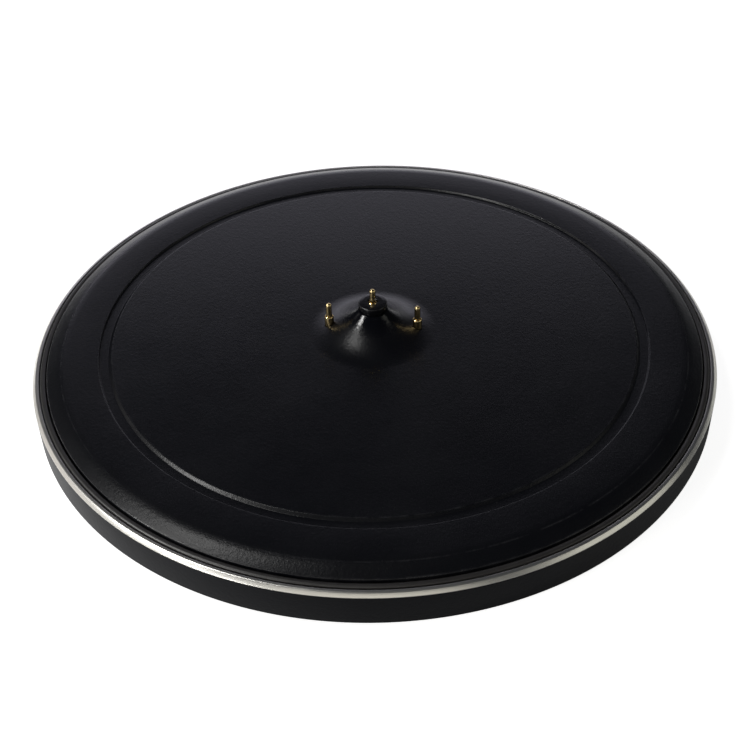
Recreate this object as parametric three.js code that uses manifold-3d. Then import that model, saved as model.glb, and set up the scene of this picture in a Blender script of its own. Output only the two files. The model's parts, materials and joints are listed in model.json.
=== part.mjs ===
// A low motor-driven turntable for displaying a model.
//
// A platter turns inside a fixed round base on a central spindle and three rollers. A geared motor in
// the base drives a toothed disc under the platter. Three sprung contacts, one on a central cone and two
// at its foot, carry power to what stands on the platter, through a slip ring and two brushes.
//
// Millimetres, +Z up, origin on the surface that the feet stand on, at the turning axis.

import * as THREE from "three";
import { mergeVertices } from "three/addons/utils/BufferGeometryUtils.js";
import Module from "manifold-3d";

const wasm = await Module();
wasm.setup();

// ---------------------------------------------------------------- driving dimensions

// How finely round pieces are divided.
const BIG_SIDES = 48;
const HUB_SIDES = 24;
const ROD_SIDES = 16;
const SMALL_SIDES = 12;
const WIRE_SIDES = 6;

// Clearances.
const FIT = 0.1; // between pieces that sit in each other
const RUN = 0.3; // beside a piece that turns
const TOUCH = 0.05; // between a piece that rolls or slides and what it rolls or slides on

// Base: a pan with a floor and a skirt, on four feet.
const OUTER_R = 125;
const FOOT_STANDOFF = 2;
const SKIRT_HEIGHT = 11.9;
const SKIRT_WALL = 2.4;
const SKIRT_CHAMFER = 0.6;
const FLOOR = 2;
const LEDGE = { width: 1.8, thick: 1.2, drop: 1.1 };

// Trim ring: a flat top and a chamfer, with a tongue that drops behind the skirt.
const TRIM = { height: 1.3, flat: 1.15, chamfer: 1.1, tongue: 0.75, tongueDepth: 0.95, band: 0.15 };

// Rim bezel: a glossy bead between the trim ring and the platter.
const BEZEL = { bead: 2, rise: 0.45, shadowGroove: 0.45, shadowDepth: 0.9 };
const EAR = { width: 9, thick: 1.8, reach: 10 };

// Platter: a plate with a bevelled edge, a ring groove and a hollow central cone that carries a cap.
const PLATTER_GAP = 0.4;
const PLATE = 2.4;
const PLATE_RISE = 3.2; // above the trim ring
const BEVEL = { width: 5.4, drop: 2.2, round: 0.4 };
const PLATTER_RIM = { wall: 2, depth: 1.8 };
const GROOVE = { innerR: 96.3, width: 4.6, wall: 0.6, depth: 1 };
const CONE = { footR: 24, neckR: 5.4, neckHeight: 9.3, power: 2, wall: 2 };
const CONE_HOLLOW = { from: 0.94, to: 0.12 }; // shares of the way from the neck to the foot
const CONTACT_CAP = { r: 5.3, neckR: 4.5, neck: 0.9, height: 3.3, round: 0.8, spigotR: 3, spigot: 2 };
const TRACK_RIB = { r: 105, width: 7, height: 0.4 };
const STUD = { r: 2.6, count: 3, startDeg: 30, skin: 0.8 };

// Sprung contacts.
const BARREL = { r: 1.7, bore: 1.35, length: 7.9, lip: 0.5, bottom: 0.8, bevel: 0.2, tailR: 0.6 };
const PLUNGER = { r: 1.1, exposed: 5.5, piston: 1.6 };
const SPRING = { wire: 0.14, turns: 4, stepsPerTurn: 7, sides: 4 };
const SIDE_PIN = { r: 16.3, tip: 10.9, turnDeg: -5.6 };
const CENTRE_PIN_PROUD = -0.2; // the centre barrel stands a little below the cap

// Drive gear, screwed under the platter, and the pinion that turns it.
const MODULE = 1.25;
const GEAR_TEETH = 64;
const PINION_TEETH = 12;
const PRESSURE_ANGLE = THREE.MathUtils.degToRad(20);
const TOOTH = { addendum: 0.8, dedendum: 1.1, backlash: 0.2 };
const GEAR = { rim: 2.8, web: 1.8, rimWidth: 4, hubR: 6, hubRise: 5, drop: 0.4 };
const GEAR_SCREW_R = 31;
const PINION_FACE = 2.4;

// Slip ring board under the gear's web, with two tracks.
const BOARD_THICK = 1.2;
const SLIP = { innerR: 8.4, outerR: 24.5, track: 0.2 };
const TRACK_INNER = { r: 12, width: 3 };
const TRACK_OUTER = { r: 20.5, width: 3 };
const LEAD_R = 0.6;

// Spindle, its bush and the well under the base.
const SPINDLE_R = 3;
const BUSH = { wall: 1.4, flangeR: 6, flange: 0.7 };
const WASHER = { r: 5.6, thick: 0.45 };
const WELL = { r: 9, wall: 2, roof: 2, height: 5.2 };
const CLIP = { r: 5.2, thick: 0.6, grooveDepth: 0.5, mouthDeg: 70 };
const CENTRE_CAP = 1.2;

// Rollers near the rim.
const ROLLER = { r: 4.5, width: 5, stubR: 1.2, stub: 1.9, edge: 0.35, count: 3, startDeg: 30 };
const FORK = { thick: 2.2, width: 7, above: 1.5 };

// Feet and screws.
const FOOT = { r: 8, sunk: 0.9, count: 4, startDeg: 45, atR: 106, edge: 0.5 };
const SCREW = { r: 1.2, headR: 2.4, faceR: 1.92, head: 1.6, round: 0.64, socketR: 1.2, socket: 0.8 };
const CASE_SCREW = { atR: 114.5, anglesDeg: [20, 160, 200, 340], bossR: 3.4, recess: 3 };

// Worm-geared motor, lying on the floor with its output shaft upright.
const MOTOR = { width: 12, height: 10, length: 15, cap: 1.8, capStep: 1 };
const MOTOR_LUG = { length: 1.6, y: 3, halfWidth: 0.8, halfThick: 0.3 };
const GEARBOX = { length: 14, offset: 2.5, gapToPinion: 0.4, corner: 1 };
const OUTPUT_SHAFT = { r: 1.5, sunk: 4 };
const CLAMP = { thick: 0.8, width: 6, foot: 7, footHeight: 3, bend: 1, outerBend: 0.6 };

// Recessed panel in the back of the skirt, with the inlet and the switch.
const PANEL = { halfWidth: 22, faceY: 122.6, wall: 2.2, below: 1.2, above: 1.3 };
const CONTROL_BOARD = { halfWidth: 26, depth: 28, standoff: 2.2, screwInset: 4, gapToPanel: 8 };
const JACK = { x: -11, width: 7, height: 6, depth: 12, collarR: 2.8, bore: 1.9, boreDepth: 9, pinR: 0.65 };
const SWITCH = { x: 11, width: 10, height: 3.6, depth: 4.6, wall: 1, shelf: 3, travel: 1.5 };
const LEVER = { width: 2.4, height: 1.8, proud: 1.5 };
const CHIP = { x: 4, y: 10, width: 6, depth: 5, height: 1.6 };
const CAPACITOR = { x: -20, y: 9, r: 2.6, height: 5.5 };

// Brushes: spring leaves from a block on the floor.
const BRUSH_BLOCK = { x0: -16, x1: -8.5, height: 4, side: 3.2 };
const LEAF = { thick: 0.25, width: 2.4, grip: 3, halfPad: 0.6, knee: 1, curl: 1.4 };

// ---------------------------------------------------------------- sizes that follow

const skirtBottom = FOOT_STANDOFF;
const floorTop = skirtBottom + FLOOR;
const trimBottom = skirtBottom + SKIRT_HEIGHT;
const trimTop = trimBottom + TRIM.height;
const plateTop = trimTop + PLATE_RISE;
const plateUnder = plateTop - PLATE;
const ledgeTop = trimBottom - TRIM.tongueDepth - FIT;
const skirtInnerR = OUTER_R - SKIRT_WALL;
const trimInnerR = OUTER_R - TRIM.chamfer - TRIM.flat;
const bezelOuterR = trimInnerR - FIT;
const bezelInnerR = bezelOuterR - BEZEL.shadowGroove - BEZEL.bead;
const platterR = bezelInnerR - PLATTER_GAP;
const earBottom = ledgeTop + FIT - EAR.thick;
const grooveOuterR = GROOVE.innerR + GROOVE.width;

const gearTop = plateUnder - GEAR.drop;
const gearBottom = gearTop - GEAR.rim;
const webTop = gearBottom + GEAR.web;
const gearR = (MODULE * GEAR_TEETH) / 2;
const pinionR = (MODULE * PINION_TEETH) / 2;
const shaftY = gearR + pinionR;
const slipTop = gearBottom - FIT;
const slipBottom = slipTop - BOARD_THICK;
const trackBottom = slipBottom - SLIP.track;

const towerTop = skirtBottom + WELL.height + WELL.roof;
const bushR = SPINDLE_R + TOUCH + BUSH.wall;
const bushTop = towerTop + BUSH.flange;
const washerTop = bushTop + TOUCH + WASHER.thick;
const hubBottom = washerTop + TOUCH;
const hubTop = gearTop + GEAR.hubRise;

const rollerTop = plateUnder - TRACK_RIB.height - TOUCH;
const rollerZ = rollerTop - ROLLER.r;
const coneTop = plateTop + CONE.neckHeight;
const capTop = coneTop + CONTACT_CAP.height;
const sideBarrelTop = plateTop + SIDE_PIN.tip - PLUNGER.exposed;
const centreBarrelTop = capTop + CENTRE_PIN_PROUD;
const springLength = BARREL.length - BARREL.lip - BARREL.bottom - PLUNGER.piston;

const panelInnerY = PANEL.faceY - PANEL.wall;
const boardFrontY = panelInnerY - CONTROL_BOARD.gapToPanel;
const boardBackY = boardFrontY - CONTROL_BOARD.depth;
const boardBottom = floorTop + CONTROL_BOARD.standoff;
const boardTop = boardBottom + BOARD_THICK;
const jackZ = floorTop + FIT + JACK.height / 2;
const switchZ = boardTop + FIT + SWITCH.height / 2;
const motorZ = floorTop + FIT + MOTOR.height / 2;
const gearboxTop = gearBottom + (GEAR.rim - PINION_FACE) / 2 - GEARBOX.gapToPinion;

// ---------------------------------------------------------------- materials

function finish(color, roughness, metalness = 0) {
  return new THREE.MeshStandardMaterial({ color, roughness, metalness });
}

const blackPlastic = finish(0x1b1b1e, 0.5);
const skirtPlastic = finish(0x202024, 0.45);
const glossBlack = finish(0x141416, 0.15);
const brightTrim = finish(0xc9c8c0, 0.22, 1);
const gold = finish(0xd8a94a, 0.2, 1);
const steel = finish(0xa7a9ac, 0.3, 1);
const bronze = finish(0x9a6c3a, 0.4, 1);
const copper = finish(0xb87333, 0.3, 1);
const rubber = finish(0x18181a, 0.9);
const gearPlastic = finish(0xe6e3da, 0.5);
const circuitGreen = finish(0x1f5a34, 0.5);
const redWire = finish(0xa01f1c, 0.5);
const sleeveBlue = finish(0x20324f, 0.4);

// ---------------------------------------------------------------- solids and meshes

// A closed geometry as a solid that can be cut and joined.
function toSolid(geometry) {
  const bare = geometry.clone();
  bare.deleteAttribute("normal");
  bare.deleteAttribute("uv");
  const merged = mergeVertices(bare, 1e-4);
  const triVerts = new Uint32Array(merged.index.array);
  return new wasm.Manifold(
    new wasm.Mesh({ numProp: 3, vertProperties: merged.attributes.position.array, triVerts }),
  );
}

function toGeometry(solid) {
  const mesh = solid.getMesh();
  const geometry = new THREE.BufferGeometry();
  geometry.setAttribute("position", new THREE.BufferAttribute(mesh.vertProperties, 3));
  geometry.setIndex(new THREE.BufferAttribute(mesh.triVerts, 1));
  geometry.computeVertexNormals();
  return geometry;
}

function joined(first, ...others) {
  return toGeometry(others.reduce((whole, part) => whole.add(toSolid(part)), toSolid(first)));
}

function cut(whole, ...tools) {
  return toGeometry(tools.reduce((rest, tool) => rest.subtract(toSolid(tool)), toSolid(whole)));
}

// A profile of [radius, height] points, anticlockwise, turned about Z. A closed profile is a ring.
function turned(profile, sides, closed = true) {
  const points = profile.map(([r, z]) => new THREE.Vector2(r, z));
  if (closed) points.push(points[0].clone());
  return new THREE.LatheGeometry(points, sides).rotateX(Math.PI / 2);
}

function rod(r, bottom, top, sides = ROD_SIDES) {
  const geometry = new THREE.CylinderGeometry(r, r, top - bottom, sides);
  return geometry.rotateX(Math.PI / 2).translate(0, 0, (bottom + top) / 2);
}

function ring(innerR, outerR, bottom, top, sides = HUB_SIDES) {
  const profile = [[innerR, bottom], [outerR, bottom], [outerR, top], [innerR, top]];
  return turned(profile, sides);
}

function block(x0, x1, y0, y1, z0, z1) {
  const geometry = new THREE.BoxGeometry(x1 - x0, y1 - y0, z1 - z0);
  return geometry.translate((x0 + x1) / 2, (y0 + y1) / 2, (z0 + z1) / 2);
}

// An outline in X and Y, standing from bottom to top.
function prism(shape, bottom, top) {
  const depth = top - bottom;
  return new THREE.ExtrudeGeometry(shape, { depth, bevelEnabled: false }).translate(0, 0, bottom);
}

// A rod along Y.
function rodAlongY(r, y0, y1, x, z, sides = ROD_SIDES) {
  const geometry = new THREE.CylinderGeometry(r, r, y1 - y0, sides);
  return geometry.translate(x, (y0 + y1) / 2, z);
}

function atAngle(geometry, radius, angleDeg) {
  return geometry.translate(radius, 0, 0).rotateZ(THREE.MathUtils.degToRad(angleDeg));
}

function named(name, geometry, material) {
  const mesh = new THREE.Mesh(geometry, material);
  mesh.name = name;
  return mesh;
}

// A group turned about Z, so that what is in it can be placed along its own X.
function spoke(angleDeg, ...meshes) {
  const group = new THREE.Group();
  group.rotation.z = THREE.MathUtils.degToRad(angleDeg);
  group.add(...meshes);
  return group;
}

function evenAngles(count, startDeg) {
  return Array.from({ length: count }, (_, i) => startDeg + (360 / count) * i);
}

// ---------------------------------------------------------------- fixed base

// Floor, skirt, ledge for the bezel, and the well and tower round the spindle.
function panBody() {
  return turned(
    [
      [WELL.r, skirtBottom],
      [OUTER_R - SKIRT_CHAMFER, skirtBottom],
      [OUTER_R, skirtBottom + SKIRT_CHAMFER],
      [OUTER_R, trimBottom - TOUCH],
      [trimInnerR + TRIM.tongue + FIT, trimBottom - TOUCH],
      [trimInnerR + TRIM.tongue + FIT, ledgeTop],
      [skirtInnerR - LEDGE.width, ledgeTop],
      [skirtInnerR - LEDGE.width, ledgeTop - LEDGE.thick],
      [skirtInnerR, ledgeTop - LEDGE.thick - LEDGE.drop],
      [skirtInnerR, floorTop],
      [WELL.r + WELL.wall, floorTop],
      [WELL.r + WELL.wall, towerTop],
      [bushR + FIT, towerTop],
      [bushR + FIT, towerTop - WELL.roof],
      [WELL.r, towerTop - WELL.roof],
    ],
    BIG_SIDES,
  );
}

// Two uprights with open slots that carry a roller's stubs.
function rollerFork(angleDeg) {
  const inner = ROLLER.width / 2 + RUN;
  const stubR = ROLLER.stubR + FIT;
  const top = rollerZ + FORK.above;
  const half = FORK.width / 2;
  const posts = joined(
    block(-inner - FORK.thick, -inner, -half, half, floorTop - FIT, top),
    block(inner, inner + FORK.thick, -half, half, floorTop - FIT, top),
  );
  const reach = inner + FORK.thick + FIT;
  const seat = rodAlongY(stubR, -reach, reach, 0, 0, SMALL_SIDES)
    .rotateZ(Math.PI / 2)
    .translate(0, 0, rollerZ);
  const mouth = block(-reach, reach, -stubR, stubR, rollerZ, top + FIT);
  return atAngle(cut(posts, seat, mouth), TRACK_RIB.r, angleDeg);
}

function motorCradle() {
  const half = CLAMP.width / 2;
  const x = clampX();
  const holeR = SCREW.r + FIT;
  const posts = [-1, 1].map((side) => {
    const y = shaftY + side * clampFootY();
    const top = floorTop + CLAMP.footHeight - FIT;
    const y0 = y - CLAMP.foot / 2 + RUN;
    const post = block(x - half, x + half, y0, y + CLAMP.foot / 2, floorTop - FIT, top);
    return cut(post, rod(holeR, floorTop, top + FIT, SMALL_SIDES).translate(x, y, 0));
  });
  return joined(...posts);
}

// Where the clamp crosses the motor.
function clampX() {
  return GEARBOX.offset + GEARBOX.length / 2 + MOTOR.length / 2;
}

// How far each clamp foot's middle is from the motor's middle.
function clampFootY() {
  return MOTOR.width / 2 + CLAMP.foot / 2 + FIT;
}

function boardScrewX() {
  return CONTROL_BOARD.halfWidth - CONTROL_BOARD.screwInset;
}

function boardPosts() {
  const y = boardBackY + CONTROL_BOARD.screwInset;
  const posts = [-1, 1].map((side) => {
    const post = rod(SCREW.headR, floorTop - FIT, boardBottom - FIT, SMALL_SIDES);
    const hole = rod(SCREW.r + FIT, floorTop - FLOOR / 2, boardBottom, SMALL_SIDES);
    return cut(post, hole).translate(side * boardScrewX(), y, 0);
  });
  return joined(...posts);
}

// The wall behind the recessed panel in the back of the skirt.
function panelWall() {
  const half = PANEL.halfWidth + PANEL.wall;
  const pad = block(-half, half, panelInnerY, OUTER_R, floorTop - FIT, ledgeTop - FIT);
  const keep = rod(OUTER_R - SKIRT_WALL / 2, skirtBottom, trimTop, BIG_SIDES);
  return toGeometry(toSolid(pad).intersect(toSolid(keep)));
}

function panelRecess() {
  const bottom = skirtBottom + PANEL.below;
  const top = ledgeTop - PANEL.above;
  return block(-PANEL.halfWidth, PANEL.halfWidth, PANEL.faceY, OUTER_R + 1, bottom, top);
}

function caseScrewHole(angleDeg) {
  const recess = rod(SCREW.headR + FIT * 3, skirtBottom - 1, skirtBottom + CASE_SCREW.recess, SMALL_SIDES);
  const hole = rod(SCREW.r + FIT, skirtBottom, ledgeTop + 1, SMALL_SIDES);
  return atAngle(joined(recess, hole), CASE_SCREW.atR, angleDeg);
}

function makeBasePan() {
  const bossTop = earBottom - FIT;
  const bosses = CASE_SCREW.anglesDeg.map((angle) =>
    atAngle(rod(CASE_SCREW.bossR, floorTop - FIT, bossTop), CASE_SCREW.atR, angle),
  );
  const forks = evenAngles(ROLLER.count, ROLLER.startDeg).map(rollerFork);
  const whole = joined(panBody(), ...bosses, ...forks, motorCradle(), boardPosts(), panelWall());
  const footHoles = evenAngles(FOOT.count, FOOT.startDeg).map((angle) =>
    atAngle(rod(FOOT.r + FIT, skirtBottom - 1, skirtBottom + FOOT.sunk + FIT), FOOT.atR, angle),
  );
  const ledgeGaps = CASE_SCREW.anglesDeg.map((angle) => {
    const half = EAR.width / 2 + RUN;
    const gap = block(-EAR.reach, skirtInnerR - CASE_SCREW.atR + FIT, -half, half, bossTop, ledgeTop + 1);
    return atAngle(gap, CASE_SCREW.atR, angle);
  });
  const switchSlot = block(
    SWITCH.x - SWITCH.travel - LEVER.width / 2 - RUN,
    SWITCH.x + SWITCH.travel + LEVER.width / 2 + RUN,
    panelInnerY - 1,
    OUTER_R,
    switchZ - LEVER.height / 2 - RUN,
    switchZ + LEVER.height / 2 + RUN,
  );
  return cut(
    whole,
    panelRecess(),
    rodAlongY(JACK.collarR + FIT, panelInnerY - 1, OUTER_R, JACK.x, jackZ),
    switchSlot,
    ...footHoles,
    ...ledgeGaps,
    ...CASE_SCREW.anglesDeg.map(caseScrewHole),
  );
}

// A bead on an upright ring, with ears that the case screws pull down.
function makeRimBezel() {
  const beadTop = trimTop + BEZEL.rise;
  const bottom = ledgeTop + FIT;
  const beadOuterR = bezelInnerR + BEZEL.bead;
  const crown = [0.15, 0.5, 0.85].map((t) => [
    beadOuterR - BEZEL.bead * t,
    beadTop - BEZEL.rise * Math.abs(2 * t - 1) ** 2,
  ]);
  const body = turned(
    [
      [bezelInnerR, bottom],
      [bezelOuterR, bottom],
      [bezelOuterR, trimTop - BEZEL.shadowDepth],
      [beadOuterR, trimTop - BEZEL.shadowDepth],
      [beadOuterR, trimTop - BEZEL.rise],
      ...crown,
      [bezelInnerR, trimTop - BEZEL.rise],
    ],
    BIG_SIDES,
  );
  const ears = CASE_SCREW.anglesDeg.map((angle) => {
    const half = EAR.width / 2;
    const x1 = bezelOuterR - CASE_SCREW.atR - BEZEL.bead / 2;
    const ear = block(-half, x1, -half, half, earBottom, bottom + FIT);
    const pilot = rod(SCREW.r + FIT, earBottom - 1, bottom + 1, SMALL_SIDES);
    return atAngle(cut(ear, pilot), CASE_SCREW.atR, angle);
  });
  return joined(body, ...ears);
}

function makeTrimRing() {
  const inner = trimInnerR;
  const tongueR = inner + TRIM.tongue;
  return turned(
    [
      [inner, trimBottom - TRIM.tongueDepth],
      [tongueR, trimBottom - TRIM.tongueDepth],
      [tongueR, trimBottom],
      [OUTER_R, trimBottom],
      [OUTER_R, trimBottom + TRIM.band],
      [OUTER_R - TRIM.chamfer, trimTop],
      [inner, trimTop],
    ],
    BIG_SIDES,
  );
}

function makeFoot() {
  const top = skirtBottom + FOOT.sunk;
  return turned(
    [
      [0, 0],
      [FOOT.r - FOOT.edge, 0],
      [FOOT.r, FOOT.edge],
      [FOOT.r, top],
      [0, top],
    ],
    ROD_SIDES,
    false,
  );
}

// A pan-headed screw with a hexagonal socket, its head down at zero and its shank upwards.
function makeScrew(shank) {
  const screw = turned(
    [
      [0, 0],
      [SCREW.faceR, 0],
      [SCREW.headR, SCREW.round],
      [SCREW.headR, SCREW.head],
      [SCREW.r, SCREW.head],
      [SCREW.r, SCREW.head + shank],
      [0, SCREW.head + shank],
    ],
    SMALL_SIDES,
    false,
  );
  return cut(screw, rod(SCREW.socketR, -1, SCREW.socket, 6));
}

function makeBush() {
  const inner = SPINDLE_R + TOUCH;
  return turned(
    [
      [inner, towerTop - WELL.roof],
      [bushR, towerTop - WELL.roof],
      [bushR, towerTop + TOUCH],
      [BUSH.flangeR, towerTop + TOUCH],
      [BUSH.flangeR, bushTop],
      [inner, bushTop],
    ],
    HUB_SIDES,
  );
}

function makeCentreCap() {
  return rod(WELL.r - FIT, skirtBottom, skirtBottom + CENTRE_CAP, HUB_SIDES);
}

// ---------------------------------------------------------------- platter

// Points up the outside of the cone.
function coneOutline() {
  const steps = 6;
  return Array.from({ length: steps + 1 }, (_, i) => {
    const t = 1 - i / steps;
    const r = CONE.neckR + (CONE.footR - CONE.neckR) * t;
    return [r, plateTop + CONE.neckHeight * (1 - t) ** CONE.power];
  });
}

// Points up the inside of the hollow cone, a wall's thickness inside the flare.
function coneHollow() {
  const steps = 4;
  const reach = CONE.footR - CONE.neckR;
  const points = Array.from({ length: steps + 1 }, (_, i) => {
    const t = CONE_HOLLOW.from + (CONE_HOLLOW.to - CONE_HOLLOW.from) * (i / steps);
    const slope = (CONE.power * CONE.neckHeight * (1 - t) ** (CONE.power - 1)) / reach;
    const length = Math.hypot(1, slope);
    const r = CONE.neckR + reach * t - (CONE.wall * slope) / length;
    const z = plateTop + CONE.neckHeight * (1 - t) ** CONE.power - CONE.wall / length;
    return [r, Math.max(z, plateUnder)];
  });
  const topR = points[points.length - 1][0];
  return [...points, [topR, coneTop - PLATE]];
}

// Upright rods where the two side contacts stand, to cut their holes.
function sidePinRods(r, bottom, top) {
  return [0, 180].map((angle) =>
    atAngle(rod(r, bottom, top, SMALL_SIDES), SIDE_PIN.r, angle + SIDE_PIN.turnDeg),
  );
}

function makePlatter() {
  const bevelR = platterR - BEVEL.width;
  const edgeTop = plateTop - BEVEL.drop;
  const rimBottom = edgeTop - PLATTER_RIM.depth;
  const ribInner = TRACK_RIB.r - TRACK_RIB.width / 2;
  const ribOuter = TRACK_RIB.r + TRACK_RIB.width / 2;
  const ribBottom = plateUnder - TRACK_RIB.height;
  const body = turned(
    [
      ...coneHollow().reverse(),
      [CONE.footR, plateUnder],
      [ribInner, plateUnder],
      [ribInner, ribBottom],
      [ribOuter, ribBottom],
      [ribOuter, plateUnder],
      [bevelR - PLATTER_RIM.wall / 2, plateUnder],
      [platterR - PLATTER_RIM.wall, edgeTop - PLATE / 2],
      [platterR - PLATTER_RIM.wall, rimBottom],
      [platterR, rimBottom],
      [platterR, edgeTop - BEVEL.round],
      [platterR - BEVEL.round, edgeTop],
      [bevelR, plateTop],
      [grooveOuterR, plateTop],
      [grooveOuterR - GROOVE.wall, plateTop - GROOVE.depth],
      [GROOVE.innerR + GROOVE.wall, plateTop - GROOVE.depth],
      [GROOVE.innerR, plateTop],
      ...coneOutline(),
      [CONTACT_CAP.spigotR + FIT, coneTop],
      [CONTACT_CAP.spigotR + FIT, coneTop - PLATE],
    ],
    BIG_SIDES,
  );
  const studs = evenAngles(STUD.count, STUD.startDeg).map((angle) =>
    atAngle(rod(STUD.r, webTop + FIT, plateUnder + FIT, SMALL_SIDES), GEAR_SCREW_R, angle),
  );
  const pilots = evenAngles(STUD.count, STUD.startDeg).map((angle) =>
    atAngle(rod(SCREW.r + FIT, webTop, plateTop - STUD.skin, SMALL_SIDES), GEAR_SCREW_R, angle),
  );
  return cut(joined(body, ...studs), ...pilots, ...sidePinRods(BARREL.r + FIT, webTop, coneTop));
}

// The button that the centre contact stands in, with a spigot into the cone.
function makeContactCap() {
  const { r, neckR, neck, round, spigotR, spigot } = CONTACT_CAP;
  const boreR = BARREL.r + FIT;
  const seat = coneTop + FIT;
  return turned(
    [
      [boreR, coneTop - spigot],
      [spigotR, coneTop - spigot],
      [spigotR, seat],
      [neckR, seat],
      [neckR, coneTop + neck],
      [r, coneTop + neck],
      [r, capTop - round],
      [r - round * 0.3, capTop - round * 0.3],
      [r - round, capTop],
      [boreR, capTop],
    ],
    HUB_SIDES,
  );
}

// ---------------------------------------------------------------- drive gear and pinion

// The outline of a spur gear with involute flanks and a tooth centred on the X axis.
function gearOutline(teeth, turn = 0) {
  const pitchR = (MODULE * teeth) / 2;
  const baseR = pitchR * Math.cos(PRESSURE_ANGLE);
  const tipR = pitchR + TOOTH.addendum * MODULE;
  const rootR = pitchR - TOOTH.dedendum * MODULE;
  const involute = (r) => {
    const angle = Math.acos(Math.min(1, baseR / r));
    return Math.tan(angle) - angle;
  };
  const halfTooth = Math.PI / (2 * teeth) - TOOTH.backlash / (2 * pitchR);
  const halfAt = (r) => halfTooth + involute(pitchR) - involute(Math.max(r, baseR));
  const flank = baseR > rootR ? [baseR, tipR] : [tipR];
  const shape = new THREE.Shape();
  const points = [];
  for (let i = 0; i < teeth; i++) {
    const middle = turn + (2 * Math.PI * i) / teeth;
    const polar = (r, angle) => {
      points.push(new THREE.Vector2(r * Math.cos(angle), r * Math.sin(angle)));
    };
    polar(rootR, middle - halfAt(rootR));
    flank.forEach((r) => polar(r, middle - halfAt(r)));
    [...flank].reverse().forEach((r) => polar(r, middle + halfAt(r)));
    polar(rootR, middle + halfAt(rootR));
  }
  shape.setFromPoints(points);
  return shape;
}

// A toothed rim on a thin web, with a hub that grips the spindle.
function makeDriveGear() {
  const rimInnerR = gearR - TOOTH.dedendum * MODULE - GEAR.rimWidth;
  const disc = prism(gearOutline(GEAR_TEETH), gearBottom, gearTop);
  const hollow = rod(rimInnerR, webTop, gearTop + 1, HUB_SIDES);
  const hub = rod(GEAR.hubR, hubBottom, hubTop, HUB_SIDES);
  const holes = evenAngles(STUD.count, STUD.startDeg).map((angle) =>
    atAngle(rod(SCREW.r + FIT, gearBottom - 1, gearTop, SMALL_SIDES), GEAR_SCREW_R, angle),
  );
  const tailHoles = sidePinRods(BARREL.tailR * 2, gearBottom - 1, webTop + 1);
  const leadHole = rod(LEAD_R * 2, gearBottom - 1, webTop + 1, SMALL_SIDES);
  leadHole.translate(0, TRACK_INNER.r, 0);
  const bore = rod(SPINDLE_R + FIT / 2, hubBottom - 1, hubTop - GEAR.web, HUB_SIDES);
  return cut(joined(cut(disc, hollow), hub), ...holes, ...tailHoles, leadHole, bore);
}

function makePinion() {
  const bottom = gearBottom + (GEAR.rim - PINION_FACE) / 2;
  const half = Math.PI / PINION_TEETH;
  const body = prism(gearOutline(PINION_TEETH, -Math.PI / 2 + half), bottom, bottom + PINION_FACE);
  const bore = rod(OUTPUT_SHAFT.r + FIT / 2, bottom - 1, bottom + PINION_FACE + 1, SMALL_SIDES);
  return cut(body, bore);
}

function makeOutputShaft() {
  const top = gearBottom + (GEAR.rim + PINION_FACE) / 2;
  return rod(OUTPUT_SHAFT.r, gearboxTop - OUTPUT_SHAFT.sunk, top, SMALL_SIDES);
}

// ---------------------------------------------------------------- spindle

function makeSpindle() {
  const bottom = towerTop - WELL.roof - 2 * CLIP.thick - RUN;
  const grooveTop = towerTop - WELL.roof - RUN + TOUCH;
  const grooveBottom = grooveTop - CLIP.thick - 2 * TOUCH;
  const waist = SPINDLE_R - CLIP.grooveDepth;
  const top = hubTop - GEAR.web - FIT;
  return turned(
    [
      [0, bottom],
      [SPINDLE_R, bottom],
      [SPINDLE_R, grooveBottom],
      [waist, grooveBottom],
      [waist, grooveTop],
      [SPINDLE_R, grooveTop],
      [SPINDLE_R, top],
      [0, top],
    ],
    HUB_SIDES,
    false,
  );
}

// A C-shaped clip in the spindle's groove.
function makeClip() {
  const top = towerTop - WELL.roof - RUN;
  const inner = SPINDLE_R - CLIP.grooveDepth + TOUCH;
  const half = THREE.MathUtils.degToRad(CLIP.mouthDeg / 2);
  const shape = new THREE.Shape();
  shape.absarc(0, 0, CLIP.r, half, 2 * Math.PI - half, false);
  shape.absarc(0, 0, inner, 2 * Math.PI - half, half, true);
  const geometry = new THREE.ExtrudeGeometry(shape, {
    depth: CLIP.thick,
    bevelEnabled: false,
    curveSegments: SMALL_SIDES,
  });
  return geometry.translate(0, 0, top - CLIP.thick);
}

// ---------------------------------------------------------------- slip ring and brushes

function makeSlipBoard() {
  const board = ring(SLIP.innerR, SLIP.outerR, slipBottom, slipTop);
  return cut(board, ...sidePinRods(BARREL.tailR + FIT, slipBottom - 1, slipTop + 1));
}

function makeTrack(track) {
  const half = track.width / 2;
  return ring(track.r - half, track.r + half, trackBottom, slipBottom - TOUCH / 2);
}

function makeBrushBlock() {
  const y0 = -TRACK_OUTER.r - BRUSH_BLOCK.side;
  const y1 = -TRACK_INNER.r + BRUSH_BLOCK.side - FIT;
  const top = floorTop + FIT + BRUSH_BLOCK.height;
  const body = block(BRUSH_BLOCK.x0, BRUSH_BLOCK.x1, y0, y1, floorTop + FIT, top);
  const half = LEAF.width / 2 + FIT;
  const x0 = BRUSH_BLOCK.x1 - LEAF.grip - FIT;
  const z0 = leafZ() - FIT;
  const z1 = leafZ() + LEAF.thick + FIT;
  const slots = [TRACK_INNER.r, TRACK_OUTER.r].map((r) =>
    block(x0, BRUSH_BLOCK.x1 + 1, -r - half, -r + half, z0, z1),
  );
  return cut(body, ...slots);
}

function leafZ() {
  return floorTop + FIT + BRUSH_BLOCK.height / 2;
}

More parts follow.
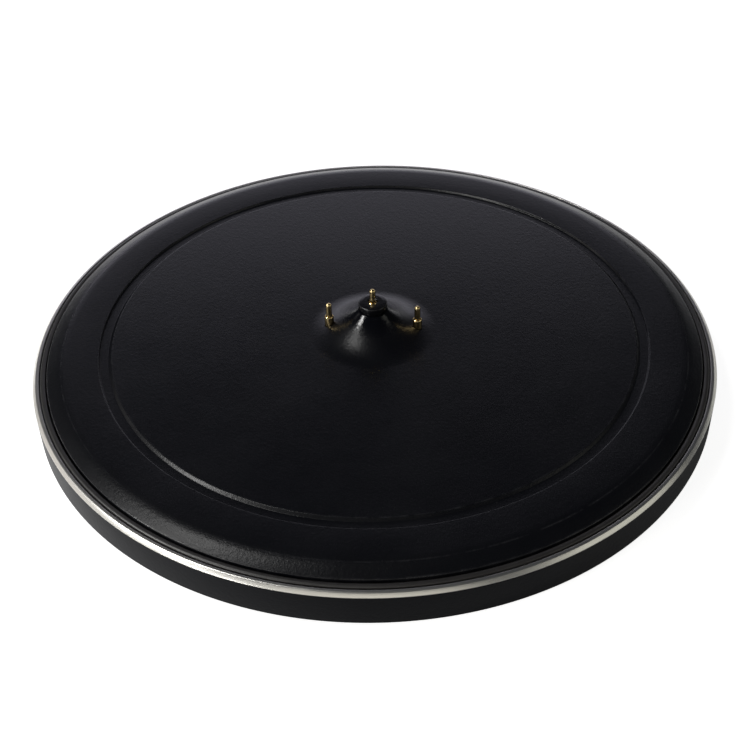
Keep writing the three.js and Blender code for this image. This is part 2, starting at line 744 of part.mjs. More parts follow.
// A flat leaf that leaves the block level, climbs and turns over at the track.
function makeLeaf(trackR) {
  const z = leafZ();
  const contact = trackBottom - TOUCH - LEAF.thick;
  const path = [
    [BRUSH_BLOCK.x1 - LEAF.grip, z],
    [BRUSH_BLOCK.x1 + 1, z],
    [-LEAF.halfPad - LEAF.knee, contact - LEAF.knee * 0.35],
    [-LEAF.halfPad, contact],
    [LEAF.halfPad, contact],
    [LEAF.halfPad + LEAF.curl, contact - 1],
  ];
  const shape = new THREE.Shape();
  path.forEach(([x, y], i) => (i ? shape.lineTo(x, y) : shape.moveTo(x, y)));
  [...path].reverse().forEach(([x, y]) => shape.lineTo(x, y + LEAF.thick));
  const geometry = new THREE.ExtrudeGeometry(shape, { depth: LEAF.width, bevelEnabled: false });
  return geometry.rotateX(Math.PI / 2).translate(0, LEAF.width / 2 - trackR, 0);
}

// ---------------------------------------------------------------- sprung contacts

// A barrel from its mouth at zero down to its tail.
function makeBarrel(tail) {
  const floor = -BARREL.length + BARREL.bottom;
  const mouthR = PLUNGER.r + TOUCH * 2;
  return turned(
    [
      [0, -BARREL.length - tail],
      [BARREL.tailR, -BARREL.length - tail],
      [BARREL.tailR, -BARREL.length],
      [BARREL.r - BARREL.bevel, -BARREL.length],
      [BARREL.r, -BARREL.length + BARREL.bevel],
      [BARREL.r, -BARREL.bevel],
      [BARREL.r - BARREL.bevel, 0],
      [mouthR, 0],
      [mouthR, -BARREL.lip],
      [BARREL.bore, -BARREL.lip],
      [BARREL.bore, floor],
      [0, floor],
    ],
    SMALL_SIDES,
    false,
  );
}

// A plunger with a domed tip and a piston that the barrel's lip holds in.
function makePlunger() {
  const pistonR = BARREL.bore - TOUCH * 2;
  const pistonTop = -BARREL.lip - TOUCH;
  const dome = [0, 30, 60].map((deg) => {
    const angle = THREE.MathUtils.degToRad(deg);
    return [PLUNGER.r * Math.cos(angle), PLUNGER.exposed - PLUNGER.r + PLUNGER.r * Math.sin(angle)];
  });
  return turned(
    [
      [0, pistonTop - PLUNGER.piston],
      [pistonR, pistonTop - PLUNGER.piston],
      [pistonR, pistonTop],
      [PLUNGER.r, pistonTop],
      ...dome,
      [0, PLUNGER.exposed],
    ],
    SMALL_SIDES,
    false,
  );
}

class Helix extends THREE.Curve {
  constructor(radius, height, turns) {
    super();
    Object.assign(this, { radius, height, turns });
  }

  getPoint(t, target = new THREE.Vector3()) {
    const angle = 2 * Math.PI * this.turns * t;
    return target.set(this.radius * Math.cos(angle), this.radius * Math.sin(angle), this.height * t);
  }
}

function circleShape(r, sides) {
  const points = Array.from({ length: sides }, (_, i) => {
    const angle = (2 * Math.PI * i) / sides;
    return new THREE.Vector2(r * Math.cos(angle), r * Math.sin(angle));
  });
  return new THREE.Shape(points);
}

function makeSpring() {
  const radius = BARREL.bore - SPRING.wire - 2 * FIT;
  const clear = SPRING.wire + FIT;
  const bottom = -BARREL.length + BARREL.bottom + clear;
  const path = new Helix(radius, springLength - 2 * clear - TOUCH, SPRING.turns);
  const geometry = new THREE.ExtrudeGeometry(circleShape(SPRING.wire, SPRING.sides), {
    steps: SPRING.turns * SPRING.stepsPerTurn,
    extrudePath: path,
    bevelEnabled: false,
  });
  return geometry.translate(0, 0, bottom);
}

// ---------------------------------------------------------------- rollers

// A roller about its own Z, with a stub at each end.
function makeRoller() {
  const half = ROLLER.width / 2;
  const end = half + RUN + ROLLER.stub;
  const side = [
    [0, -end],
    [ROLLER.stubR, -end],
    [ROLLER.stubR, -half],
    [ROLLER.r - ROLLER.edge, -half],
    [ROLLER.r, -half + ROLLER.edge],
  ];
  const otherSide = [...side].reverse().map(([r, z]) => [r, -z]);
  return turned([...side, ...otherSide], ROD_SIDES, false);
}

// ---------------------------------------------------------------- motor

function makeGearbox() {
  const half = MOTOR.width / 2;
  const x0 = GEARBOX.offset - GEARBOX.length / 2;
  const x1 = GEARBOX.offset + GEARBOX.length / 2;
  const body = block(x0, x1, -half, half, floorTop + FIT, gearboxTop);
  const corner = GEARBOX.corner * 2;
  const corners = [-1, 1].map((side) => {
    const post = new THREE.BoxGeometry(corner, corner, MOTOR.height * 3);
    return post.rotateZ(Math.PI / 4).translate(x0, side * half, motorZ);
  });
  const boreBottom = gearboxTop - OUTPUT_SHAFT.sunk - FIT;
  const bore = rod(OUTPUT_SHAFT.r + TOUCH, boreBottom, gearboxTop + 1, SMALL_SIDES);
  return cut(body, ...corners, bore);
}

// The motor's round body, flattened above and below, lying along X.
function flattenedRound(x0, x1, width, height) {
  const barrel = new THREE.CylinderGeometry(width / 2, width / 2, x1 - x0, HUB_SIDES);
  barrel.rotateZ(Math.PI / 2).translate((x0 + x1) / 2, 0, motorZ);
  const slab = block(x0 - 1, x1 + 1, -width, width, motorZ - height / 2, motorZ + height / 2);
  return toGeometry(toSolid(barrel).intersect(toSolid(slab)));
}

function motorStart() {
  return GEARBOX.offset + GEARBOX.length / 2 + FIT;
}

function makeMotorCan() {
  return flattenedRound(motorStart(), motorStart() + MOTOR.length, MOTOR.width, MOTOR.height);
}

function makeMotorCap() {
  const { length, y, halfWidth, halfThick } = MOTOR_LUG;
  const x0 = motorStart() + MOTOR.length + FIT;
  const x1 = x0 + MOTOR.cap;
  const body = flattenedRound(x0, x1, MOTOR.width - MOTOR.capStep, MOTOR.height - MOTOR.capStep);
  const z0 = motorZ - halfThick;
  const z1 = motorZ + halfThick;
  const lugs = [-1, 1].map((side) =>
    block(x1 - FIT, x1 + length, side * y - halfWidth, side * y + halfWidth, z0, z1),
  );
  return joined(body, ...lugs);
}

// A strap over the motor with a foot on each side.
function makeClamp() {
  const half = CLAMP.width / 2;
  const inner = MOTOR.width / 2 + FIT;
  const outer = inner + CLAMP.thick;
  const top = motorZ + MOTOR.height / 2 + FIT;
  const foot = floorTop + CLAMP.footHeight;
  const reach = MOTOR.width / 2 + FIT + CLAMP.foot;
  const shape = new THREE.Shape();
  shape.moveTo(-reach, foot);
  shape.lineTo(-inner, foot);
  shape.lineTo(-inner, top - CLAMP.bend);
  shape.lineTo(-inner + CLAMP.bend, top);
  shape.lineTo(inner - CLAMP.bend, top);
  shape.lineTo(inner, top - CLAMP.bend);
  shape.lineTo(inner, foot);
  shape.lineTo(reach, foot);
  shape.lineTo(reach, foot + CLAMP.thick);
  shape.lineTo(outer, foot + CLAMP.thick);
  shape.lineTo(outer, top - CLAMP.outerBend);
  shape.lineTo(inner - CLAMP.outerBend, top + CLAMP.thick);
  shape.lineTo(-inner + CLAMP.outerBend, top + CLAMP.thick);
  shape.lineTo(-outer, top - CLAMP.outerBend);
  shape.lineTo(-outer, foot + CLAMP.thick);
  shape.lineTo(-reach, foot + CLAMP.thick);
  const strap = new THREE.ExtrudeGeometry(shape, { depth: CLAMP.width, bevelEnabled: false });
  strap.rotateX(Math.PI / 2).rotateZ(Math.PI / 2).translate(clampX() - half, 0, 0);
  const holes = [-1, 1].map((side) => {
    const hole = rod(SCREW.r + FIT, foot - 1, foot + CLAMP.thick + 1, SMALL_SIDES);
    return hole.translate(clampX(), side * clampFootY(), 0);
  });
  return cut(strap, ...holes);
}

// ---------------------------------------------------------------- control board and what is on it

function makeControlBoard() {
  const half = CONTROL_BOARD.halfWidth;
  const board = block(-half, half, boardBackY, boardFrontY, boardBottom, boardTop);
  const y = boardBackY + CONTROL_BOARD.screwInset;
  const holes = [-1, 1].map((side) =>
    rod(SCREW.r + FIT, boardBottom - 1, boardTop + 1, SMALL_SIDES).translate(side * boardScrewX(), y, 0),
  );
  const notch = block(
    JACK.x - JACK.width / 2 - RUN,
    JACK.x + JACK.width / 2 + RUN,
    panelInnerY - JACK.depth - RUN,
    boardFrontY + 1,
    boardBottom - 1,
    boardTop + 1,
  );
  return cut(board, notch, ...holes);
}

// A block with a collar through the panel, a bore for the plug and a hole for the pin.
function makeJack() {
  const y1 = panelInnerY - FIT;
  const y0 = y1 - JACK.depth + FIT;
  const half = JACK.width / 2;
  const halfHeight = JACK.height / 2;
  const body = block(JACK.x - half, JACK.x + half, y0, y1, jackZ - halfHeight, jackZ + halfHeight);
  const collar = rodAlongY(JACK.collarR, y1 - 1, PANEL.faceY, JACK.x, jackZ);
  const bore = rodAlongY(JACK.bore, PANEL.faceY - JACK.boreDepth, PANEL.faceY + 1, JACK.x, jackZ);
  const pinHole = rodAlongY(JACK.pinR + TOUCH, y0 + 1, PANEL.faceY, JACK.x, jackZ, SMALL_SIDES);
  return cut(joined(body, collar), bore, pinHole);
}

function makeJackPin() {
  const y0 = panelInnerY - JACK.depth + 1 + RUN;
  return rodAlongY(JACK.pinR, y0, PANEL.faceY - 1, JACK.x, jackZ, SMALL_SIDES);
}

function switchFrontY() {
  return panelInnerY - FIT;
}

function makeSwitchBody() {
  const half = SWITCH.width / 2;
  const y1 = switchFrontY();
  const y0 = y1 - SWITCH.depth;
  const z0 = switchZ - SWITCH.height / 2;
  const z1 = switchZ + SWITCH.height / 2;
  const shelfY = boardFrontY - SWITCH.shelf;
  const shelf = block(SWITCH.x - half, SWITCH.x + half, shelfY, y0 + FIT, z0, z0 + SWITCH.wall);
  const body = block(SWITCH.x - half, SWITCH.x + half, y0, y1, z0, z1);
  const slotHalf = SWITCH.travel + LEVER.width / 2 + RUN;
  const slotZ = LEVER.height / 2 + FIT;
  const slot = block(
    SWITCH.x - slotHalf,
    SWITCH.x + slotHalf,
    y0 + SWITCH.wall,
    y1 + 1,
    switchZ - slotZ,
    switchZ + slotZ,
  );
  return cut(joined(body, shelf), slot);
}

function makeSlider() {
  const half = LEVER.width / 2;
  const y0 = switchFrontY() - SWITCH.depth + SWITCH.wall + FIT;
  const z = LEVER.height / 2;
  return block(-half, half, y0, PANEL.faceY + LEVER.proud, -z, z);
}

function makeChip() {
  return block(-CHIP.width / 2, CHIP.width / 2, -CHIP.depth / 2, CHIP.depth / 2, 0, CHIP.height);
}

function makeCapacitor() {
  return rod(CAPACITOR.r, 0, CAPACITOR.height);
}

// A round wire through a list of points.
function wire(points, steps, r = LEAD_R) {
  const path = new THREE.CatmullRomCurve3(points.map((p) => new THREE.Vector3(...p)));
  return new THREE.ExtrudeGeometry(circleShape(r, WIRE_SIDES), {
    steps,
    extrudePath: path,
    bevelEnabled: false,
  });
}

function makeMotorLead() {
  const x = motorStart() + MOTOR.length + MOTOR.cap + 2.2;
  const low = floorTop + 2 * LEAD_R;
  return wire(
    [
      [x, shaftY, motorZ],
      [x + 2.5, shaftY + 2, motorZ - 1.5],
      [x + 3, shaftY + 9, low + 1],
      [x - 1, shaftY + 20, low],
      [x - 8, boardBackY - 8, low],
      [x - 12, boardBackY - 3, boardTop],
      [x - 13, boardBackY - 0.2, boardTop + 2],
      [x - 13, boardBackY + 1.8, boardTop + 1],
    ],
    20,
  );
}

function makeBrushLead() {
  const low = floorTop + 2 * LEAD_R;
  const x = BRUSH_BLOCK.x0;
  return wire(
    [
      [x - 0.4, -(TRACK_INNER.r + TRACK_OUTER.r) / 2, leafZ()],
      [x - 4, -(TRACK_INNER.r + TRACK_OUTER.r) / 2, low + 0.6],
      [x - 11, -8, low],
      [x - 14, 12, low],
      [x - 13, 36, low],
      [x - 9, 60, low],
      [x - 4, boardBackY - 8, low],
      [x + 4, boardBackY - 3, boardTop],
      [x + 5, boardBackY - 0.2, boardTop + 2],
      [x + 5, boardBackY + 1.8, boardTop + 1],
    ],
    28,
  );
}

// From the centre contact's tail, over the hub and down to the slip ring board.
function makeCentrePinLead() {
  const start = centreBarrelTop - BARREL.length - 2 * RUN;
  const y = TRACK_INNER.r;
  return wire(
    [
      [0, 0, start],
      [0, 0.4, start - 0.6],
      [0, 1.6, start - 0.9],
      [0, GEAR.hubR, start - 0.9],
      [0, y - 1.8, start - 2.8],
      [0, y, webTop + 1],
      [0, y, slipTop + 0.2],
    ],
    14,
  );
}

// ---------------------------------------------------------------- assembly

function basePieces() {
  const group = new THREE.Group();
  group.add(named("base_pan", makeBasePan(), skirtPlastic));
  group.add(named("rim_bezel", makeRimBezel(), glossBlack));
  group.add(named("trim_ring", makeTrimRing(), brightTrim));
  group.add(named("centre_bush", makeBush(), bronze));
  group.add(named("centre_cap", makeCentreCap(), blackPlastic));
  evenAngles(FOOT.count, FOOT.startDeg).forEach((angle, i) => {
    const foot = named(`rubber_foot_${i + 1}`, makeFoot(), rubber);
    foot.position.x = FOOT.atR;
    group.add(spoke(angle, foot));
  });
  const headZ = skirtBottom + CASE_SCREW.recess - SCREW.head - FIT;
  const shank = ledgeTop + FIT - headZ - SCREW.head - FIT;
  CASE_SCREW.anglesDeg.forEach((angle, i) => {
    const screw = named(`case_screw_${i + 1}`, makeScrew(shank), steel);
    screw.position.set(CASE_SCREW.atR, 0, headZ);
    group.add(spoke(angle, screw));
  });
  return group;
}

function drivePieces() {
  const group = new THREE.Group();
  group.position.y = shaftY;
  group.add(named("gearbox_case", makeGearbox(), gearPlastic));
  group.add(named("motor_can", makeMotorCan(), steel));
  group.add(named("motor_end_cap", makeMotorCap(), blackPlastic));
  group.add(named("motor_clamp", makeClamp(), steel));
  group.add(named("output_shaft", makeOutputShaft(), steel));
  group.add(named("drive_pinion", makePinion(), gearPlastic));
  const headTop = floorTop + CLAMP.footHeight + CLAMP.thick + SCREW.head + FIT;
  [-1, 1].forEach((side, i) => {
    const shank = CLAMP.footHeight + CLAMP.thick - 2 * FIT;
    const screw = named(`motor_screw_${i + 1}`, makeScrew(shank), steel);
    screw.rotation.x = Math.PI;
    screw.position.set(clampX(), side * clampFootY(), headTop);
    group.add(screw);
  });
  return group;
}

function rollerPieces() {
  const group = new THREE.Group();
  evenAngles(ROLLER.count, ROLLER.startDeg).forEach((angle, i) => {
    const roller = named(`support_roller_${i + 1}`, makeRoller(), gearPlastic);
    roller.rotation.y = Math.PI / 2;
    roller.position.set(TRACK_RIB.r, 0, rollerZ);
    group.add(spoke(angle, roller));
  });
  return group;
}

function powerPieces() {
  const group = new THREE.Group();
  group.add(named("control_board", makeControlBoard(), circuitGreen));
  group.add(named("dc_jack", makeJack(), blackPlastic));
  group.add(named("dc_jack_pin", makeJackPin(), steel));
  group.add(named("switch_body", makeSwitchBody(), steel));
  const slider = named("switch_slider", makeSlider(), blackPlastic);
  slider.position.set(SWITCH.x, 0, switchZ);
  const chip = named("driver_chip", makeChip(), blackPlastic);
  chip.position.set(CHIP.x, boardBackY + CHIP.y, boardTop + TOUCH);
  const capacitor = named("capacitor", makeCapacitor(), sleeveBlue);
  capacitor.position.set(CAPACITOR.x, boardBackY + CAPACITOR.y, boardTop + TOUCH);
  group.add(slider, chip, capacitor);
  [-1, 1].forEach((side, i) => {
    const shank = BOARD_THICK + CONTROL_BOARD.standoff - FIT;
    const screw = named(`board_screw_${i + 1}`, makeScrew(shank), steel);
    screw.rotation.x = Math.PI;
    screw.position.set(
      side * boardScrewX(),
      boardBackY + CONTROL_BOARD.screwInset,
      boardTop + SCREW.head + FIT,
    );
    group.add(screw);
  });
  group.add(named("brush_block", makeBrushBlock(), blackPlastic));
  group.add(named("brush_leaf_inner", makeLeaf(TRACK_INNER.r), copper));
  group.add(named("brush_leaf_outer", makeLeaf(TRACK_OUTER.r), copper));
  group.add(named("motor_lead", makeMotorLead(), redWire));
  group.add(named("brush_lead", makeBrushLead(), redWire));
  return group;
}

function platterPieces() {
  const group = new THREE.Group();
  group.add(named("platter", makePlatter(), blackPlastic));
  group.add(named("contact_cap", makeContactCap(), blackPlastic));
  group.add(named("drive_gear", makeDriveGear(), gearPlastic));
  group.add(named("spindle", makeSpindle(), steel));
  group.add(named("retaining_clip", makeClip(), steel));
  const washerInner = SPINDLE_R + TOUCH;
  group.add(
    named("thrust_washer", ring(washerInner, WASHER.r, washerTop - WASHER.thick, washerTop), gearPlastic),
  );
  group.add(named("slip_ring_board", makeSlipBoard(), circuitGreen));
  group.add(named("slip_track_inner", makeTrack(TRACK_INNER), copper));
  group.add(named("slip_track_outer", makeTrack(TRACK_OUTER), copper));
  group.add(named("centre_pin_lead", makeCentrePinLead(), redWire));
  evenAngles(STUD.count, STUD.startDeg).forEach((angle, i) => {
    const shank = plateTop - STUD.skin - gearBottom - 2 * FIT;
    const screw = named(`gear_screw_${i + 1}`, makeScrew(shank), steel);
    screw.position.set(GEAR_SCREW_R, 0, gearBottom - SCREW.head - FIT);
    group.add(spoke(angle, screw));
  });
  return group;
}

// A contact's three pieces, with the barrel's mouth at the group's origin.
function contact(side, tail) {
  const group = new THREE.Group();
  group.add(named(`pin_barrel_${side}`, makeBarrel(tail), gold));
  group.add(named(`pin_plunger_${side}`, makePlunger(), gold));
  group.add(named(`pin_spring_${side}`, makeSpring(), steel));
  return group;
}

function contactPieces() {
  const group = new THREE.Group();
  const tail = sideBarrelTop - BARREL.length - trackBottom;
  const centre = contact("centre", 0);
  centre.position.z = centreBarrelTop;
  const left = contact("left", tail);
  left.position.set(-SIDE_PIN.r, 0, sideBarrelTop);
  const right = contact("right", tail);
  right.position.set(SIDE_PIN.r, 0, sideBarrelTop);
  group.add(centre, spoke(SIDE_PIN.turnDeg, left, right));
  return group;
}

const turntable = new THREE.Group();
turntable.add(
  basePieces(),
  drivePieces(),
  rollerPieces(),
  powerPieces(),
  platterPieces(),
  contactPieces(),
);

export default turntable;
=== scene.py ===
"""Looks for a low motor-driven display turntable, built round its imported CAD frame.

The turning plate, its cap, the rim, the trim ring, the base shell, the contacts, the feet, the screws, the
power inlet and the switch's thumb piece are remade here with fine rounded edges. Every other piece keeps its
CAD shape and gets a finish.
"""

import json
import logging
import math
from dataclasses import dataclass, field
from enum import Enum

import bmesh
import bpy
from mathutils import Matrix, Vector


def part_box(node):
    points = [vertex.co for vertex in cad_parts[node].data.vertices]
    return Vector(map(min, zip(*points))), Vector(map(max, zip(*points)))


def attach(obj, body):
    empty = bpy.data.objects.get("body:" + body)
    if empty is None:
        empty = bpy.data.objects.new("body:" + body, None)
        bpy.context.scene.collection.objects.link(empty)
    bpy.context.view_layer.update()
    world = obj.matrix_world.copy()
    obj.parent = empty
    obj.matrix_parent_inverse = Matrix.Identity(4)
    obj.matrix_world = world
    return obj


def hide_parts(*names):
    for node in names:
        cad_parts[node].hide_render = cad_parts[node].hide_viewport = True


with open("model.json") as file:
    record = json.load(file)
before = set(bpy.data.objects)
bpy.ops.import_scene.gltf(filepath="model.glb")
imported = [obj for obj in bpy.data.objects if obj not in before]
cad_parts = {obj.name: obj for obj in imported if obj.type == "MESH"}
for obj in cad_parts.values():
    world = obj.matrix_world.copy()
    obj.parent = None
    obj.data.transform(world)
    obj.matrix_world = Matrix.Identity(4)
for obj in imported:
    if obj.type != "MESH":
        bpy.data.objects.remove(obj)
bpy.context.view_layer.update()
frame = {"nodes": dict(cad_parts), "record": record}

LOG = logging.getLogger("turntable")
MM = 0.001
CREASE = math.radians(32)  # edges that turn more than this stay sharp
RING_SIDES = 288  # for the wide rings
CASE_ANGLES = (20, 160, 200, 340)  # degrees, where the case screws stand
CASE_RADIUS = 114.5  # millimetres, from the turning axis to the case screws

Piece = bpy.types.Object
Node = bpy.types.Node
Socket = bpy.types.NodeSocket
Triple = tuple[float, float, float]
Corner = tuple[float, float, float]  # radius, height and rounding, in millimetres
Point = tuple[float, float]


class Body(Enum):
    """Rigid bodies that pieces ride on."""

    BASE = "base"
    PLATTER = "turning_platter"
    SWITCH = "switch_lever"


class Side(Enum):
    """The three sprung contacts."""

    CENTRE = "centre"
    LEFT = "left"
    RIGHT = "right"


class Cut(Enum):
    """What a second solid does to the first."""

    REMOVE = "DIFFERENCE"
    JOIN = "UNION"
    KEEP = "INTERSECT"


# ------------------------------------------------------------------------------------------ mesh work


def corner_arc(before: Vector, at: Vector, after: Vector, radius: float, steps: int) -> list[Point]:
    """Rounds one corner of an outline.

    Args:
        before: The point before the corner.
        at: The corner.
        after: The point after the corner.
        radius: The rounding's radius; it is limited to what the two sides allow.
        steps: How many short sides the arc gets.

    Returns:
        The points that take the corner's place.
    """
    back, ahead = before - at, after - at
    if radius <= 0 or back.length < 1e-9 or ahead.length < 1e-9:
        return [(at.x, at.y)]
    half = back.angle(ahead) / 2
    if half > math.radians(89) or half < math.radians(1):
        return [(at.x, at.y)]
    reach = min(radius / math.tan(half), 0.48 * back.length, 0.48 * ahead.length)
    start, end = at + back.normalized() * reach, at + ahead.normalized() * reach
    points = []
    for i in range(steps + 1):
        t = i / steps
        point = start * (1 - t) ** 2 + at * (2 * t * (1 - t)) + end * t**2
        points.append((point.x, point.y))
    return points


def rounded(corners: list[Corner], closed: bool = True, steps: int = 4) -> list[Point]:
    """Turns corners of (radius, height, rounding) into an outline with rounded edges.

    Args:
        corners: The outline's corners in millimetres.
        closed: Whether the outline runs back to its first corner.
        steps: Short sides for each rounded corner.

    Returns:
        The outline's points in millimetres.
    """
    at = [Vector((r, z)) for r, z, _ in corners]
    points: list[Point] = []
    for i, (_, _, radius) in enumerate(corners):
        if not closed and i in (0, len(corners) - 1):
            points.append((at[i].x, at[i].y))
        else:
            points += corner_arc(at[i - 1], at[i], at[(i + 1) % len(at)], radius, steps)
    return points


def mark_sharp(mesh: bmesh.types.BMesh) -> None:
    """Makes a bmesh smooth, except across its sharp edges."""
    for face in mesh.faces:
        face.smooth = True
    for edge in mesh.edges:
        edge.smooth = len(edge.link_faces) == 2 and edge.calc_face_angle(0) < CREASE


def to_object(name: str, mesh: bmesh.types.BMesh) -> Piece:
    """Makes an object of a bmesh, links it to the scene and frees the bmesh."""
    bmesh.ops.remove_doubles(mesh, verts=mesh.verts, dist=1e-7)
    bmesh.ops.recalc_face_normals(mesh, faces=mesh.faces)
    mark_sharp(mesh)
    data = bpy.data.meshes.new(name)
    mesh.to_mesh(data)
    mesh.free()
    piece = bpy.data.objects.new(name, data)
    bpy.context.scene.collection.objects.link(piece)
    return piece


def lathe(name: str, outline: list[Point], sides: int, closed: bool = True) -> Piece:
    """Turns an outline of (radius, height) points, in millimetres, about the Z axis.

    Args:
        name: The object's name.
        outline: The outline. An open one starts and ends on the axis.
        sides: How many sides the round piece has.
        closed: Whether the outline is a loop, which makes a ring.

    Returns:
        The turned object, in metres.
    """
    mesh = bmesh.new()
    rings: list[list[bmesh.types.BMVert]] = []
    for r, z in outline:
        count = 1 if r < 1e-6 else sides
        turn = 2 * math.pi / sides
        rings.append([mesh.verts.new((r * MM * math.cos(i * turn), r * MM * math.sin(i * turn), z * MM))
                      for i in range(count)])
    pairs = list(zip(rings, rings[1:] + rings[:1])) if closed else list(zip(rings, rings[1:]))
    for low, high in pairs:
        for i in range(sides):
            j = (i + 1) % sides
            loop = [low[i % len(low)], low[j % len(low)], high[j % len(high)], high[i % len(high)]]
            unique = list(dict.fromkeys(loop))
            if len(unique) > 2:
                mesh.faces.new(unique)
    return to_object(name, mesh)


def turned(name: str, corners: list[Corner], sides: int, closed: bool = True, steps: int = 4) -> Piece:
    """Turns corners of (radius, height, rounding), in millimetres, about the Z axis.

    Args:
        name: The object's name.
        corners: The section's corners. An open section starts and ends on the axis.
        sides: How many sides the round piece has.
        closed: Whether the section is a loop.
        steps: Short sides for each rounded corner.

    Returns:
        The turned object, in metres.
    """
    return lathe(name, rounded(corners, closed, steps), sides, closed)


def box(name: str, low: Triple, high: Triple) -> Piece:
    """A block between two corners in millimetres, used to cut or join."""
    mesh = bmesh.new()
    bmesh.ops.create_cube(mesh, size=1)
    for vert in mesh.verts:
        vert.co = Vector([(low[k] + (vert.co[k] + 0.5) * (high[k] - low[k])) * MM for k in range(3)])
    return to_object(name, mesh)


def rod(name: str, radius: float, bottom: float, top: float, sides: int = 64) -> Piece:
    """An upright rod in millimetres, used to cut or join."""
    return lathe(name, [(0, bottom), (radius, bottom), (radius, top), (0, top)], sides, closed=False)


def placed(piece: Piece, matrix: Matrix) -> Piece:
    """Moves a piece's own mesh, and leaves its object at the origin."""
    piece.data.transform(matrix)
    return piece


def combine(target: Piece, tool: Piece, how: Cut) -> Piece:
    """Cuts or joins one solid with another, and removes the tool.

    Args:
        target: The solid that stays.
        tool: The solid that is used up.
        how: What the tool does.

    Returns:
        The target, with its new mesh.
    """
    modifier = target.modifiers.new("combine", "BOOLEAN")
    modifier.operation = how.value
    modifier.solver = "MANIFOLD"
    modifier.object = tool
    done = bpy.data.meshes.new_from_object(target.evaluated_get(bpy.context.evaluated_depsgraph_get()))
    target.modifiers.clear()
    target.data = done
    bpy.data.objects.remove(tool, do_unlink=True)
    return target


def tidy_edges(piece: Piece) -> Piece:
    """Cleans a cut mesh and marks its sharp edges again."""
    mesh = bmesh.new()
    mesh.from_mesh(piece.data)
    bmesh.ops.remove_doubles(mesh, verts=mesh.verts, dist=2e-7)
    bmesh.ops.dissolve_degenerate(mesh, edges=mesh.edges, dist=1e-7)
    mark_sharp(mesh)
    mesh.to_mesh(piece.data)
    mesh.free()
    return piece


def copy_of(node: str, name: str) -> Piece:
    """A separate copy of a CAD node's solid, free to be cut."""
    source = frame["nodes"][node]
    mesh = bmesh.new()
    mesh.from_mesh(source.data)
    mesh.transform(source.matrix_world)
    return to_object(name, mesh)


def spoke(angle_deg: float, radius_mm: float) -> Matrix:
    """The place at an angle and a distance from the turning axis, facing outwards."""
    return Matrix.Rotation(math.radians(angle_deg), 4, "Z") @ Matrix.Translation((radius_mm * MM, 0, 0))


def reach_of(node: str) -> Triple:
    """How far a CAD node reaches to the right, down and up, in millimetres from the part's origin."""
    low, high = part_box(node)
    return high.x / MM, low.z / MM, high.z / MM


def middle_of(node: str) -> Vector:
    """The middle of a CAD node's box, in metres."""
    low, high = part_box(node)
    return (low + high) / 2


def ground_under(node: str) -> Matrix:
    """The place on the ground under the middle of a CAD node."""
    middle = middle_of(node)
    return Matrix.Translation((middle.x, middle.y, 0))


def towards_back(node: str) -> Matrix:
    """Lays an upright piece towards the back, through the middle of a CAD node."""
    middle = middle_of(node)
    return Matrix.Translation((middle.x, 0, middle.z)) @ Matrix.Rotation(math.radians(-90), 4, "X")


# ------------------------------------------------------------------------------------------ shader work


